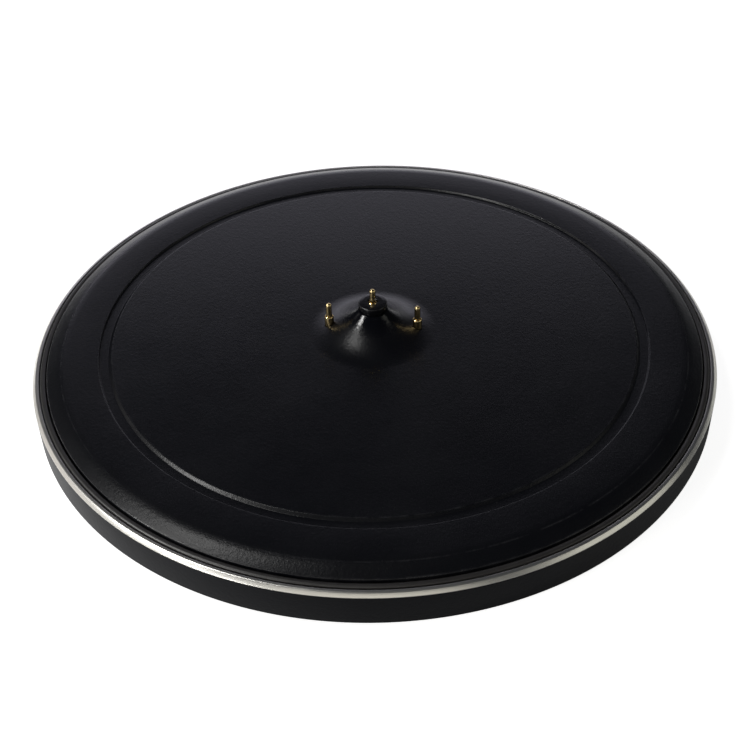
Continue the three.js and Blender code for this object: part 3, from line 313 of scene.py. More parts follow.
class Shader:
    """A short way to write a node tree."""

    def __init__(self, tree: bpy.types.NodeTree) -> None:
        """Wraps a tree."""
        self.tree = tree

    def add(self, kind: str, **values: object) -> Node:
        """Adds a node and sets its properties."""
        node = self.tree.nodes.new(kind)
        for key, value in values.items():
            setattr(node, key, value)
        return node

    def put(self, value: object, socket: Socket) -> None:
        """Links an output to a socket, or sets the socket to a value."""
        if isinstance(value, Socket):
            self.tree.links.new(value, socket)
        else:
            socket.default_value = value

    def math(self, how: str, *values: object) -> Socket:
        """A Math node of up to three values."""
        node = self.add("ShaderNodeMath", operation=how)
        for i, value in enumerate(values):
            self.put(value, node.inputs[i])
        return node.outputs[0]

    def scale(self, value: object, low: float, high: float, to_low: float, to_high: float) -> object:
        """Maps one range to another, limited at both ends."""
        node = self.add("ShaderNodeMapRange", clamp=True)
        for i, item in enumerate((value, low, high, to_low, to_high)):
            self.put(item, node.inputs[i])
        return node.outputs[0]

    def noise(self, where: object, size: object, detail: float = 3, rough: float = 0.55) -> object:
        """Noise with features of about a size in metres."""
        node = self.add("ShaderNodeTexNoise")
        self.put(where, node.inputs["Vector"])
        scale = 1 / size if isinstance(size, float) else self.math("DIVIDE", 1.0, size)
        self.put(scale, node.inputs["Scale"])
        node.inputs["Detail"].default_value = detail
        node.inputs["Roughness"].default_value = rough
        return node.outputs["Fac"]

    def mix(self, share: object, first: object, second: object) -> Socket:
        """Mixes two colours."""
        node = self.add("ShaderNodeMix", data_type="RGBA")
        self.put(share, node.inputs[0])
        self.put(first, node.inputs[6])
        self.put(second, node.inputs[7])
        return node.outputs[2]

    def bump(self, height: object, depth: float, surface: Node) -> None:
        """Raises a surface by a height, whose full step is depth in metres."""
        node = self.add("ShaderNodeBump")
        node.inputs["Distance"].default_value = depth
        self.put(height, node.inputs["Height"])
        self.put(node.outputs[0], surface.inputs["Normal"])

    def where(self) -> Socket:
        """The place on the piece, in metres from the part's origin."""
        return self.add("ShaderNodeTexCoord").outputs["Object"]

    def split(self, vector: object) -> bpy.types.bpy_prop_collection:
        """A vector's x, y and z."""
        node = self.add("ShaderNodeSeparateXYZ")
        self.put(vector, node.inputs[0])
        return node.outputs

    def radius(self) -> Socket:
        """The distance from the turning axis."""
        x, y, _ = self.split(self.where())
        return self.math("SQRT", self.math("ADD", self.math("MULTIPLY", x, x), self.math("MULTIPLY", y, y)))

    def polar(self, turns: object, along: object) -> Socket:
        """A place made of angle, radius and height, for marks that run round the axis.

        Args:
            turns: How much the angle counts, so that a small value makes long marks.
            along: How much radius and height count.

        Returns:
            The vector (angle, radius, height), scaled.
        """
        x, y, z = self.split(self.where())
        join = self.add("ShaderNodeCombineXYZ")
        self.put(self.math("MULTIPLY", self.math("ARCTAN2", y, x), turns), join.inputs[0])
        self.put(self.math("MULTIPLY", self.radius(), along), join.inputs[1])
        self.put(self.math("MULTIPLY", z, along), join.inputs[2])
        return join.outputs[0]


class Effects:
    """Node groups that several finishes share. Each is built once."""

    built: dict[str, bpy.types.NodeTree] = {}

    @classmethod
    def start(cls, name: str, inputs: dict[str, float], outputs: list[str]) -> tuple[Shader, object, object]:
        """Opens a new group.

        Args:
            name: The group's name.
            inputs: Its inputs, with their usual values.
            outputs: Its outputs.

        Returns:
            The group's shader, its input node and its output node.
        """
        tree = bpy.data.node_groups.new(name, "ShaderNodeTree")
        for key, value in inputs.items():
            socket = tree.interface.new_socket(name=key, in_out="INPUT", socket_type="NodeSocketFloat")
            socket.default_value = value
        for key in outputs:
            tree.interface.new_socket(name=key, in_out="OUTPUT", socket_type="NodeSocketFloat")
        shader = Shader(tree)
        cls.built[name] = tree
        return shader, shader.add("NodeGroupInput"), shader.add("NodeGroupOutput")

    @classmethod
    def use(cls, shader: Shader, name: str, **values: object) -> Node:
        """Places a shared group in a material.

        Args:
            shader: The material's shader.
            name: The group's name.
            values: Its inputs, with _ for a space in their names.

        Returns:
            The group's node.
        """
        if name not in cls.built:
            getattr(cls, name)()
        node = shader.add("ShaderNodeGroup", node_tree=cls.built[name])
        for key, value in values.items():
            shader.put(value, node.inputs[key.replace("_", " ")])
        return node

    @classmethod
    def mould_grain(cls) -> None:
        """The fine pebbled skin that an etched mould leaves."""
        shader, given, out = cls.start("mould_grain", {"Size": 0.0005, "Patch": 0.02}, ["Height", "Patches"])
        place = shader.where()
        cells = shader.add("ShaderNodeTexVoronoi", feature="SMOOTH_F1")
        shader.put(place, cells.inputs["Vector"])
        shader.put(shader.math("DIVIDE", 1.0, given.outputs["Size"]), cells.inputs["Scale"])
        fine = shader.noise(place, shader.math("MULTIPLY", given.outputs["Size"], 0.6), 2)
        coarse = shader.noise(place, shader.math("MULTIPLY", given.outputs["Size"], 2.4), 1)
        height = shader.math("ADD", shader.math("MULTIPLY", cells.outputs["Distance"], 0.6),
                             shader.math("MULTIPLY", fine, 0.5))
        shader.put(shader.math("ADD", coarse, height), out.inputs["Height"])
        patches = shader.noise(place, given.outputs["Patch"], 4, 0.6)
        shader.put(shader.scale(patches, 0.35, 0.68, 0.0, 1.0), out.inputs["Patches"])

    @classmethod
    def turned_marks(cls) -> None:
        """Fine marks that run round the turning axis, from polishing or wiping."""
        shader, given, out = cls.start("turned_marks", {"Density": 900.0, "Length": 1.4}, ["Marks"])
        place = shader.polar(given.outputs["Length"], given.outputs["Density"])
        marks = shader.noise(place, 1.0, 5, 0.7)
        shader.put(shader.scale(marks, 0.3, 0.7, 0.0, 1.0), out.inputs["Marks"])

    @classmethod
    def edge_rub(cls) -> None:
        """A worn line at one distance from the turning axis, broken up along its length."""
        inputs = {"Radius": 0.114, "Width": 0.0004, "Break": 0.006}
        shader, given, out = cls.start("edge_rub", inputs, ["Mask"])
        radius = shader.radius()
        off = shader.math("ABSOLUTE", shader.math("SUBTRACT", radius, given.outputs["Radius"]))
        near = shader.math("SUBTRACT", 1.0, shader.math("DIVIDE", off, given.outputs["Width"]))
        breaks = shader.noise(shader.where(), given.outputs["Break"], 5, 0.7)
        broken = shader.scale(breaks, 0.42, 0.66, 0.0, 1.0)
        mask = shader.math("MULTIPLY", shader.math("MAXIMUM", near, 0.0), broken)
        shader.put(mask, out.inputs["Mask"])

    @classmethod
    def settled_dust(cls) -> None:
        """Sparse specks and a faint film on what faces up."""
        shader, given, out = cls.start("settled_dust", {"Speck": 0.0006, "Film": 0.05}, ["Specks", "Film"])
        place = shader.where()
        _, _, up = shader.split(shader.add("ShaderNodeNewGeometry").outputs["Normal"])
        facing = shader.scale(up, 0.6, 1.0, 0.0, 1.0)
        cells = shader.add("ShaderNodeTexVoronoi", feature="F1")
        shader.put(place, cells.inputs["Vector"])
        cells.inputs["Scale"].default_value = 240.0
        dots = shader.math("LESS_THAN", cells.outputs["Distance"],
                           shader.math("MULTIPLY", given.outputs["Speck"], 110.0))
        rare = shader.math("GREATER_THAN", shader.noise(place, 0.004, 2), 0.62)
        specks = shader.math("MULTIPLY", shader.math("MULTIPLY", dots, rare), facing)
        shader.put(specks, out.inputs["Specks"])
        film = shader.scale(shader.noise(place, given.outputs["Film"], 5, 0.62), 0.4, 0.75, 0.0, 1.0)
        shader.put(shader.math("MULTIPLY", film, facing), out.inputs["Film"])


# ------------------------------------------------------------------------------------------ finishes


@dataclass(frozen=True)
class Finish:
    """A named finish. Each kind adds its own sizes and wires its own material."""

    name: str
    slot: str
    colour: Triple = (0.5, 0.5, 0.5)
    roughness: float = 0.5

    def wire(self, shader: Shader, surface: Node) -> None:
        """Wires what varies over the surface."""
        raise NotImplementedError

    def material(self) -> bpy.types.Material:
        """The finish's material, made the first time it is asked for.

        Returns:
            The material.
        """
        found = bpy.data.materials.get(self.name)
        if found:
            return found
        made = bpy.data.materials.new(self.name)
        made.use_nodes = True
        made.diffuse_color = (*self.colour, 1)
        surface = made.node_tree.nodes["Principled BSDF"]
        surface.inputs["Base Color"].default_value = (*self.colour, 1)
        surface.inputs["Roughness"].default_value = self.roughness
        self.wire(Shader(made.node_tree), surface)
        return made

    def dress(self, piece: Piece) -> None:
        """Gives a piece this finish."""
        piece.data.materials.clear()
        piece.data.materials.append(self.material())

    def dress_node(self, node: str) -> None:
        """Gives a CAD node this finish, and leaves its mesh alone."""
        piece = frame["nodes"][node]
        if not piece.material_slots:
            piece.data.materials.append(None)
        for place in piece.material_slots:
            place.material = self.material()


@dataclass(frozen=True)
class MouldedPlastic(Finish):
    """Black plastic with a fine etched skin, faint wipe marks, dust and rubbed edges."""

    grain: float = 0.0005
    depth: float = 0.00002
    specular: float = 0.5
    tint: Triple = (0.05, 0.05, 0.055)
    rubs: tuple[float, ...] = ()
    dust: float = 0.5
    patchiness: float = 0.06
    polish: float = 0.0
    polish_reach: tuple[float, float] = (7.0, 11.5)

    def wire(self, shader: Shader, surface: Node) -> None:
        """Wires grain to bump, and marks, dust, rubs and the polished middle to roughness and colour."""
        surface.inputs["Specular IOR Level"].default_value = self.specular
        grain = Effects.use(shader, "mould_grain", Size=self.grain)
        marks = Effects.use(shader, "turned_marks", Density=1400.0, Length=2.2)
        dust = Effects.use(shader, "settled_dust")
        shader.bump(grain.outputs["Height"], self.depth, surface)
        rub: object = 0.0
        for radius in self.rubs:
            line = Effects.use(shader, "edge_rub", Radius=radius * MM)
            rub = shader.math("MAXIMUM", rub, line.outputs["Mask"])
        rough: object = self.roughness
        for value, share in (
            (shader.math("SUBTRACT", grain.outputs["Patches"], 0.5), self.patchiness),
            (shader.math("SUBTRACT", marks.outputs["Marks"], 0.5), 0.03),
            (dust.outputs["Film"], 0.05 * self.dust),
            (rub, -0.16),
        ):
            rough = shader.math("MULTIPLY_ADD", value, share, rough)
        if self.polish:
            full, none = self.polish_reach
            share = shader.scale(shader.radius(), full * MM, none * MM, 1.0, 0.0)
            rough = shader.math("MULTIPLY_ADD", share, -self.polish, rough)
        shader.put(rough, surface.inputs["Roughness"])
        colour: object = (*self.colour, 1)
        for value, share, over in (
            (grain.outputs["Patches"], 0.35, self.tint),
            (dust.outputs["Film"], 0.035 * self.dust, (0.35, 0.34, 0.32)),
            (dust.outputs["Specks"], 0.12 * self.dust, (0.5, 0.49, 0.46)),
            (rub, 0.25, (0.12, 0.12, 0.13)),
        ):
            colour = shader.mix(shader.math("MULTIPLY", value, share), colour, (*over, 1))
        shader.put(colour, surface.inputs["Base Color"])


@dataclass(frozen=True)
class PolishedPlastic(Finish):
    """Polished black plastic under a thin clear coat, with hairline wipe marks."""

    second: Triple = (0.028, 0.026, 0.025)
    waviness: float = 0.000006

    def wire(self, shader: Shader, surface: Node) -> None:
        """Wires wipe marks to roughness and a slight waviness to the surface."""
        surface.inputs["Coat Roughness"].default_value = 0.16
        surface.inputs["Specular IOR Level"].default_value = 0.85
        marks = Effects.use(shader, "turned_marks", Density=2600.0, Length=1.2)
        grain = Effects.use(shader, "mould_grain", Size=0.0012, Patch=0.012)
        rough = shader.math("MULTIPLY_ADD", marks.outputs["Marks"], 0.1, self.roughness)
        shader.put(rough, surface.inputs["Roughness"])
        coat = shader.scale(grain.outputs["Patches"], 0.0, 1.0, 0.2, 0.08)
        shader.put(coat, surface.inputs["Coat Weight"])
        shader.bump(grain.outputs["Height"], self.waviness, surface)
        shader.put(shader.mix(grain.outputs["Patches"], (*self.colour, 1), (*self.second, 1)),
                   surface.inputs["Base Color"])


@dataclass(frozen=True)
class TurnedMetal(Finish):
    """Metal with fine marks round the turning axis and slight clouding."""

    density: float = 5200.0
    length: float = 0.7
    depth: float = 0.000002
    cloud: Triple = (0.6, 0.58, 0.5)
    spread: float = 0.12

    def wire(self, shader: Shader, surface: Node) -> None:
        """Wires marks to roughness and bump, and clouding to colour."""
        surface.inputs["Metallic"].default_value = 1.0
        marks = Effects.use(shader, "turned_marks", Density=self.density, Length=self.length)
        grain = Effects.use(shader, "mould_grain", Size=0.0009, Patch=0.03)
        marked = shader.math("SUBTRACT", marks.outputs["Marks"], 0.5)
        rough = shader.math("MULTIPLY_ADD", marked, self.spread, self.roughness)
        rough = shader.math("MULTIPLY_ADD", grain.outputs["Patches"], 0.05, rough)
        shader.put(rough, surface.inputs["Roughness"])
        shader.bump(marks.outputs["Marks"], self.depth, surface)
        share = shader.math("MULTIPLY", grain.outputs["Patches"], 0.35)
        shader.put(shader.mix(share, (*self.colour, 1), (*self.cloud, 1)), surface.inputs["Base Color"])


@dataclass(frozen=True)
class CastSurface(Finish):
    """A plain moulded, sintered or dipped surface with a grain, used inside and for rubber."""

    grain: float = 0.0004
    depth: float = 0.00002
    metallic: float = 0.0
    second: Triple = (0.4, 0.4, 0.4)
    share: float = 0.4
    spread: float = 0.15

    def wire(self, shader: Shader, surface: Node) -> None:
        """Wires grain to bump and roughness, and patches to colour."""
        surface.inputs["Metallic"].default_value = self.metallic
        grain = Effects.use(shader, "mould_grain", Size=self.grain, Patch=0.006)
        shader.bump(grain.outputs["Height"], self.depth, surface)
        shader.put(shader.math("MULTIPLY_ADD", grain.outputs["Patches"], self.spread, self.roughness),
                   surface.inputs["Roughness"])
        share = shader.math("MULTIPLY", grain.outputs["Patches"], self.share)
        shader.put(shader.mix(share, (*self.colour, 1), (*self.second, 1)), surface.inputs["Base Color"])


PLATTER_BLACK = MouldedPlastic(
    "platter_black", "black_plastic", (0.0022, 0.0025, 0.0042), 0.31, grain=0.0006, depth=0.000042,
    tint=(0.0042, 0.0047, 0.007), rubs=(96.2, 100.95, 114.4, 119.5), specular=0.42, polish=0.19, dust=0.2,
    patchiness=0.03,
)
CAP_BLACK = MouldedPlastic("cap_black", "black_plastic", (0.005, 0.005, 0.0065), 0.24, depth=0.000012,
                           tint=(0.009, 0.009, 0.011), dust=0.2)
SKIRT_BLACK = MouldedPlastic(
    "skirt_black", "skirt_plastic", (0.0045, 0.005, 0.0075), 0.38, grain=0.0006, depth=0.00005,
    tint=(0.007, 0.0075, 0.0105), dust=0.25, specular=0.22,
)
RIM_GLOSS = PolishedPlastic("rim_gloss", "gloss_black", (0.018, 0.0165, 0.0155), 0.36)
TRIM_SILVER = TurnedMetal("trim_silver", "bright_trim", (0.93, 0.91, 0.86), 0.28, cloud=(0.84, 0.82, 0.76),
                          spread=0.08)
CONTACT_GOLD = TurnedMetal("contact_gold", "gold", (0.95, 0.74, 0.38), 0.13, density=9000.0, length=0.4,
                           cloud=(0.84, 0.58, 0.24), spread=0.05)
ZINC_STEEL = TurnedMetal("zinc_steel", "steel", (0.62, 0.63, 0.64), 0.3, density=9000.0,
                         cloud=(0.5, 0.5, 0.49))
TRACK_COPPER = TurnedMetal("track_copper", "copper", (0.8, 0.42, 0.24), 0.26, cloud=(0.6, 0.3, 0.16))
BUSH_BRONZE = CastSurface("bush_bronze", "bronze", (0.5, 0.31, 0.14), 0.35, metallic=1.0,
                          second=(0.3, 0.18, 0.08), grain=0.0003)
FOOT_RUBBER = CastSurface("foot_rubber", "rubber", (0.012, 0.012, 0.013), 0.68, second=(0.03, 0.03, 0.03),
                          grain=0.0005, depth=0.00003, spread=0.14)
ACETAL = CastSurface("acetal", "gear_plastic", (0.75, 0.73, 0.66), 0.38, second=(0.66, 0.63, 0.55),
                     grain=0.0007, depth=0.00001)
BOARD_GREEN = CastSurface("board_green", "circuit_board", (0.015, 0.12, 0.045), 0.3,
                          second=(0.01, 0.08, 0.03), grain=0.0005, depth=0.00001, spread=0.12)
SLEEVE_BLUE = CastSurface("sleeve_blue", "sleeve_blue", (0.02, 0.04, 0.14), 0.28, second=(0.015, 0.03, 0.1))
WIRE_RED = CastSurface("wire_red", "red_wire", (0.4, 0.015, 0.012), 0.38, second=(0.3, 0.01, 0.01))
INNER_BLACK = CastSurface("inner_black", "black_plastic", (0.015, 0.015, 0.017), 0.45,
                          second=(0.03, 0.03, 0.033))


# ------------------------------------------------------------------------------------------ sub-assemblies


class SubAssembly:
    """A group of pieces that are built and dressed together."""

    def build(self) -> list[Piece]:
        """Makes the pieces."""
        raise NotImplementedError

    def settle(self, piece: Piece, finish: Finish, body: str, *nodes: str) -> Piece:
        """Dresses a piece, lets it ride on its body, and hides the CAD nodes that it stands for.

        Args:
            piece: The finished mesh, in place.
            finish: Its finish.
            body: The CAD body that it moves with.
            nodes: The CAD nodes that it stands for.

        Returns:
            The piece.
        """
        finish.dress(piece)
        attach(piece, body)
        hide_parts(*nodes)
        return piece


@dataclass
class Platter(SubAssembly):
    """The turning plate with its bevel, groove and cone, and the cap on the cone. Sizes in millimetres."""

    plate: float = 2.4
    bevel_width: float = 5.4
    bevel_drop: float = 2.2
    rim_wall: float = 2.0
    groove_inner: float = 96.3
    groove_width: float = 4.6
    groove_slope: float = 1.1
    groove_wall: float = 0.35
    groove_depth: float = 0.8
    cone_foot: float = 24.0
    cone_neck: float = 5.4
    cone_power: float = 2.0
    spigot: float = 3.1
    hole: float = 1.8
    cap_neck: float = 4.5
    bevel_round: float = 12.0
    flare_steps: int = 40
    hollow: tuple[Point, ...] = ((6.3, 25.3), (6.3, 24.1), (11.0, 19.9), (16.5, 17.0))

    def measures(self) -> tuple[float, float, float, float]:
        """The edge's radius, the underside, the plate's top and the cone's top, from the CAD box."""
        edge, underside, cone_top = reach_of("platter")
        mount = next(m for m in frame["record"]["mounts"] if m["name"] == "display_top")
        return edge, underside, mount["pos_m"][2] / MM, cone_top

    def flare(self, top: float, cone_top: float) -> list[Corner]:
        """The cone's section, from its foot to its neck."""
        rise, spread = cone_top - top, self.cone_foot - self.cone_neck
        shares = [i / self.flare_steps for i in range(self.flare_steps)]
        curve = [(self.cone_foot - spread * t, top + rise * t**self.cone_power, 0.0) for t in shares]
        return [*curve, (self.cone_neck, cone_top, 0.35)]

    def section(self) -> list[Corner]:
        """The plate's section.

        Returns:
            Its corners, from the cone's foot underneath out to the edge and back over the top.
        """
        edge, underside, top, cone_top = self.measures()
        bevel_r = edge - self.bevel_width
        groove_outer = self.groove_inner + self.groove_width
        floor = top - self.groove_depth
        return [
            (self.cone_foot, top - self.plate, 0.0),
            (bevel_r - 1, top - self.plate, 0.3),
            (edge - self.rim_wall, top - self.bevel_drop - 1.2, 0.3),
            (edge - self.rim_wall, underside, 0.3),
            (edge, underside, 0.3),
            (edge, top - self.bevel_drop - 0.05, 0.55),
            (bevel_r, top, self.bevel_round),
            (groove_outer, top, 0.25),
            (groove_outer - self.groove_wall, floor, 0.3),
            (self.groove_inner + self.groove_slope, floor, 0.6),
            (self.groove_inner, top, 0.8),
            *self.flare(top, cone_top),
            (self.spigot, cone_top, 0.15),
            (self.spigot, cone_top - self.plate, 0.0),
            *[(r, z, 0.5) for r, z in self.hollow],
        ]

    def plate_piece(self) -> Piece:
        """The plate, with its two side holes."""
        piece = turned("platter_plate", self.section(), RING_SIDES, steps=5)
        _, underside, _, cone_top = self.measures()
        for side in (Side.LEFT, Side.RIGHT):
            hole = rod("hole", self.hole, underside, cone_top)
            combine(piece, placed(hole, ground_under(f"pin_barrel_{side.value}")), Cut.REMOVE)
        return tidy_edges(piece)

    def cap_piece(self) -> Piece:
        """The button on the cone."""
        outer, bottom, top = reach_of("contact_cap")
        _, _, _, cone_top = self.measures()
        corners = [
            (self.hole, bottom, 0.0),
            (self.spigot - 0.1, bottom, 0.1),
            (self.spigot - 0.1, cone_top + 0.1, 0.0),
            (self.cap_neck, cone_top + 0.1, 0.0),
            (self.cap_neck - 0.05, cone_top + 0.9, 0.15),
            (outer, cone_top + 0.9, 0.25),
            (outer, top - 0.25, 0.75),
            (outer - 1.6, top - 0.04, 0.6),
            (self.hole + 0.25, top, 0.15),
            (self.hole, top - 0.25, 0.1),
        ]
        return turned("contact_button", corners, 96, steps=6)

    def build(self) -> list[Piece]:
        """Makes the plate and the cap."""
        return [
            self.settle(self.plate_piece(), PLATTER_BLACK, Body.PLATTER.value, "platter"),
            self.settle(self.cap_piece(), CAP_BLACK, Body.PLATTER.value, "contact_cap"),
        ]


@dataclass
class Contact:
    """One sprung contact: a barrel and a plunger. Sizes in millimetres."""

    side: Side
    bore: float = 1.35
    mouth: float = 1.2
    lip: float = 0.5
    bottom: float = 0.8
    shoulder: float = 0.35
    length: float = 7.9
    collar: float = 3.2
    tail: float = 0.6
    plunger: float = 1.1
    piston: float = 1.6
    dome_steps: int = 8

    def place(self) -> tuple[Matrix, float, float]:
        """Where the contact stands, its barrel's radius and its tail's length."""
        low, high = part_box(f"pin_barrel_{self.side.value}")
        matrix = Matrix.Translation(((low.x + high.x) / 2, (low.y + high.y) / 2, high.z))
        return matrix, (high.x - low.x) / 2 / MM, (high.z - low.z) / MM - self.length

    def barrel(self) -> Piece:
        """The barrel, with a stepped collar and a chamfered mouth."""
        matrix, radius, tail = self.place()
        corners = [
            (0, -self.length - tail, 0.0),
            (self.tail, -self.length - tail, 0.2),
            (self.tail, -self.length, 0.0),
            (radius - 0.1, -self.length, 0.15),
            (radius - 0.1, -self.collar, 0.1),
            (radius, -self.collar + 0.15, 0.1),
            (radius, -self.shoulder, 0.3),
            (radius - self.shoulder, 0, 0.15),
            (self.mouth, 0, 0.08),
            (self.mouth, -self.lip, 0.0),
            (self.bore, -self.lip, 0.0),
            (self.bore, -self.length + self.bottom, 0.2),
            (0, -self.length + self.bottom, 0.0),
        ]
        return placed(turned(f"contact_barrel_{self.side.value}", corners, 64, closed=False), matrix)

    def plunger_piece(self) -> Piece:
        """The plunger, with a round tip."""
        matrix, _, _ = self.place()
        low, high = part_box(f"pin_plunger_{self.side.value}")
        exposed = (high.z - matrix.translation.z) / MM
        start = (low.z - matrix.translation.z) / MM
        dome = []
        for i in range(self.dome_steps):
            angle = math.pi / 2 * i / self.dome_steps
            height = exposed - self.plunger * (1 - math.sin(angle))
            dome.append((self.plunger * math.cos(angle), height, 0.0))
        corners = [
            (0, start, 0.0),
            (self.bore - 0.1, start, 0.15),
            (self.bore - 0.1, start + self.piston, 0.1),
            (self.plunger, start + self.piston, 0.0),
            *dome,
            (0, exposed, 0.0),
        ]
        return placed(turned(f"contact_plunger_{self.side.value}", corners, 48, closed=False), matrix)


@dataclass
class Contacts(SubAssembly):
    """All three sprung contacts."""

    def build(self) -> list[Piece]:
        """Makes a barrel and a plunger for each contact."""
        pieces = []
        for side in Side:
            contact, name = Contact(side), side.value
            pieces += [
                self.settle(contact.barrel(), CONTACT_GOLD, Body.PLATTER.value, f"pin_barrel_{name}"),
                self.settle(contact.plunger_piece(), CONTACT_GOLD, f"plunger_{name}", f"pin_plunger_{name}"),
            ]
        return pieces


@dataclass
class Rim(SubAssembly):
    """The glossy bead round the platter, and the bright trim ring outside it. Sizes in millimetres."""

    bead: float = 2.0
    bead_rise: float = 0.55
    bead_steps: int = 16
    shadow_width: float = 0.45
    shadow_depth: float = 0.9
    trim_width: float = 2.25
    trim_height: float = 1.3
    trim_chamfer: float = 1.2
    trim_tongue: float = 0.75
    trim_band: float = 0.2
    trim_flat: float = 0.4
    ear_width: float = 9.0
    pilot: float = 1.3

    def bead_piece(self) -> Piece:
        """The bead on its upright ring, with the ears that the case screws hold."""
        outer, ear_bottom, top = reach_of("rim_bezel")
        _, bottom, trim_top = reach_of("trim_ring")
        inner = outer - self.shadow_width - self.bead
        crown = []
        for i in range(self.bead_steps + 1):
            angle = math.pi * i / self.bead_steps
            crown.append((inner + self.bead / 2 * (1 + math.cos(angle)),
                          top - self.bead_rise * (1 - math.sin(angle)), 0.0))
        corners = [
            (inner, bottom, 0.0),
            (outer, bottom, 0.0),
            (outer, trim_top - self.shadow_depth, 0.0),
            (inner + self.bead, trim_top - self.shadow_depth, 0.1),
            *crown,
        ]
        piece = turned("rim_bead", corners, RING_SIDES)
        half = self.ear_width / 2
        for angle in CASE_ANGLES:
            ear = box("ear", (-half, -half, ear_bottom), (outer - 0.7 - CASE_RADIUS, half, bottom + 0.1))
            combine(ear, rod("pilot", self.pilot, ear_bottom - 1, bottom + 1), Cut.REMOVE)
            combine(piece, placed(ear, spoke(angle, CASE_RADIUS)), Cut.JOIN)
        return tidy_edges(piece)

    def trim_piece(self) -> Piece:
        """The trim ring: a flat top and a chamfer."""
        outer, bottom, top = reach_of("trim_ring")
        inner = outer - self.trim_width
        seat = top - self.trim_height
        corners = [
            (inner, bottom, 0.0),
            (inner + self.trim_tongue, bottom, 0.0),
            (inner + self.trim_tongue, seat, 0.0),
            (outer, seat, 0.08),
            (outer, seat + self.trim_band, 0.12),
            (outer - self.trim_chamfer, top - 0.06, 0.9),
            (inner + self.trim_flat, top, 0.25),
            (inner, top, 0.15),
        ]
        return turned("trim_band", corners, 320, steps=5)

    def build(self) -> list[Piece]:
        """Makes the bead and the trim ring."""
        return [
            self.settle(self.bead_piece(), RIM_GLOSS, Body.BASE.value, "rim_bezel"),
            self.settle(self.trim_piece(), TRIM_SILVER, Body.BASE.value, "trim_ring"),
        ]


@dataclass
class BaseShell(SubAssembly):
    """The pan: skirt, floor, recessed panel, and the bosses and forks inside. Sizes in millimetres."""

    split: float = 118.2
    wall: float = 2.4
    floor: float = 2.0
    chamfer: float = 0.6
    ledge_inner: float = 120.8
    ledge_depth: float = 1.0
    ledge_thick: float = 1.2
    ledge_drop: float = 1.1
    tongue_clear: float = 123.6
    panel_half: float = 22.0
    panel_face: float = 122.6
    panel_wall: float = 2.2
    panel_below: float = 1.2
    panel_above: float = 1.3
    inlet_hole: float = 2.9
    lever_side: float = 1.8
    lever_above: float = 0.3
    ear_gap: tuple[float, float] = (8.2, 4.8)
    ear_floor: float = 7.35
    screw_recess: tuple[float, float] = (2.8, 5.0)
    foot_seat: tuple[float, float] = (8.2, 2.98)
    foot_angles: tuple[int, ...] = (45, 135, 225, 315)
    foot_radius: float = 106.0
    well: tuple[float, float] = (9.1, 7.19)

    def measures(self) -> tuple[float, float, float, float]:
        """The pan's radius, its underside, its top and the trim ring's ledge."""
        outer, bottom, top = reach_of("base_pan")
        return outer, bottom, top, top - self.ledge_depth

    def skirt(self) -> Piece:
        """The fine outer ring of the pan, with rounded edges."""
        outer, bottom, top, ledge = self.measures()
        corners = [
            (self.split - 0.05, bottom, 0.0),
            (outer - self.chamfer, bottom, 0.4),
            (outer, bottom + self.chamfer, 0.4),
            (outer, top, 0.12),
            (self.tongue_clear, top, 0.0),
            (self.tongue_clear, ledge, 0.0),
            (self.ledge_inner, ledge, 0.0),
            (self.ledge_inner, ledge - self.ledge_thick, 0.0),
            (outer - self.wall, ledge - self.ledge_thick - self.ledge_drop, 0.0),
            (outer - self.wall, bottom + self.floor, 0.0),
            (self.split - 0.05, bottom + self.floor, 0.0),
        ]
        return turned("base_shell", corners, RING_SIDES)

    def panel(self, piece: Piece) -> None:
        """Adds the wall behind the recessed panel, and cuts the recess and its two openings."""
        outer, bottom, top, ledge = self.measures()
        half = self.panel_half + self.panel_wall
        pad = box("pad", (-half, self.panel_face - self.panel_wall, bottom + self.floor - 0.1),
                  (half, outer, ledge - 0.1))
        combine(pad, rod("keep", outer - self.wall / 2, bottom, top, RING_SIDES), Cut.KEEP)
        combine(piece, pad, Cut.JOIN)
        recess = box("recess", (-self.panel_half, self.panel_face, bottom + self.panel_below),
                     (self.panel_half, outer + 2, ledge - self.panel_above))
        combine(piece, recess, Cut.REMOVE)
        hole = placed(rod("hole", self.inlet_hole, outer - 6, outer + 6), towards_back("dc_jack"))
        combine(piece, hole, Cut.REMOVE)
        low, high = (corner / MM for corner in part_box("switch_slider"))
        slot = box("slot", (low.x - self.lever_side, self.panel_face - 4, low.z - self.lever_above),
                   (high.x + self.lever_side, outer + 1, high.z + self.lever_above))
        combine(piece, slot, Cut.REMOVE)

    def inside(self) -> Piece:
        """The pan's floor and all that stands on it, taken from the CAD solid, with round recesses."""
        inner = copy_of("base_pan", "inside")
        combine(inner, rod("keep", self.split, -5, 30, RING_SIDES), Cut.KEEP)
        screws = (self.screw_recess, CASE_ANGLES, CASE_RADIUS)
        feet = (self.foot_seat, self.foot_angles, self.foot_radius)
        for (radius, top), angles, distance in (screws, feet):
            for angle in angles:
                combine(inner, placed(rod("recess", radius, -1, top), spoke(angle, distance)), Cut.REMOVE)
        radius, top = self.well
        combine(inner, rod("well", radius, -1, top, 96), Cut.REMOVE)
        return inner

    def build(self) -> list[Piece]:
        """Makes the shell as one solid."""
        piece = self.skirt()
        self.panel(piece)
        _, bottom, _, ledge = self.measures()
        length, half = self.ear_gap
        for angle in CASE_ANGLES:
            gap = box("gap", (0, -half, bottom + self.ear_floor), (length, half, ledge + 0.5))
            combine(piece, placed(gap, spoke(angle, CASE_RADIUS)), Cut.REMOVE)
        combine(piece, self.inside(), Cut.JOIN)
        return [self.settle(tidy_edges(piece), SKIRT_BLACK, Body.BASE.value, "base_pan")]


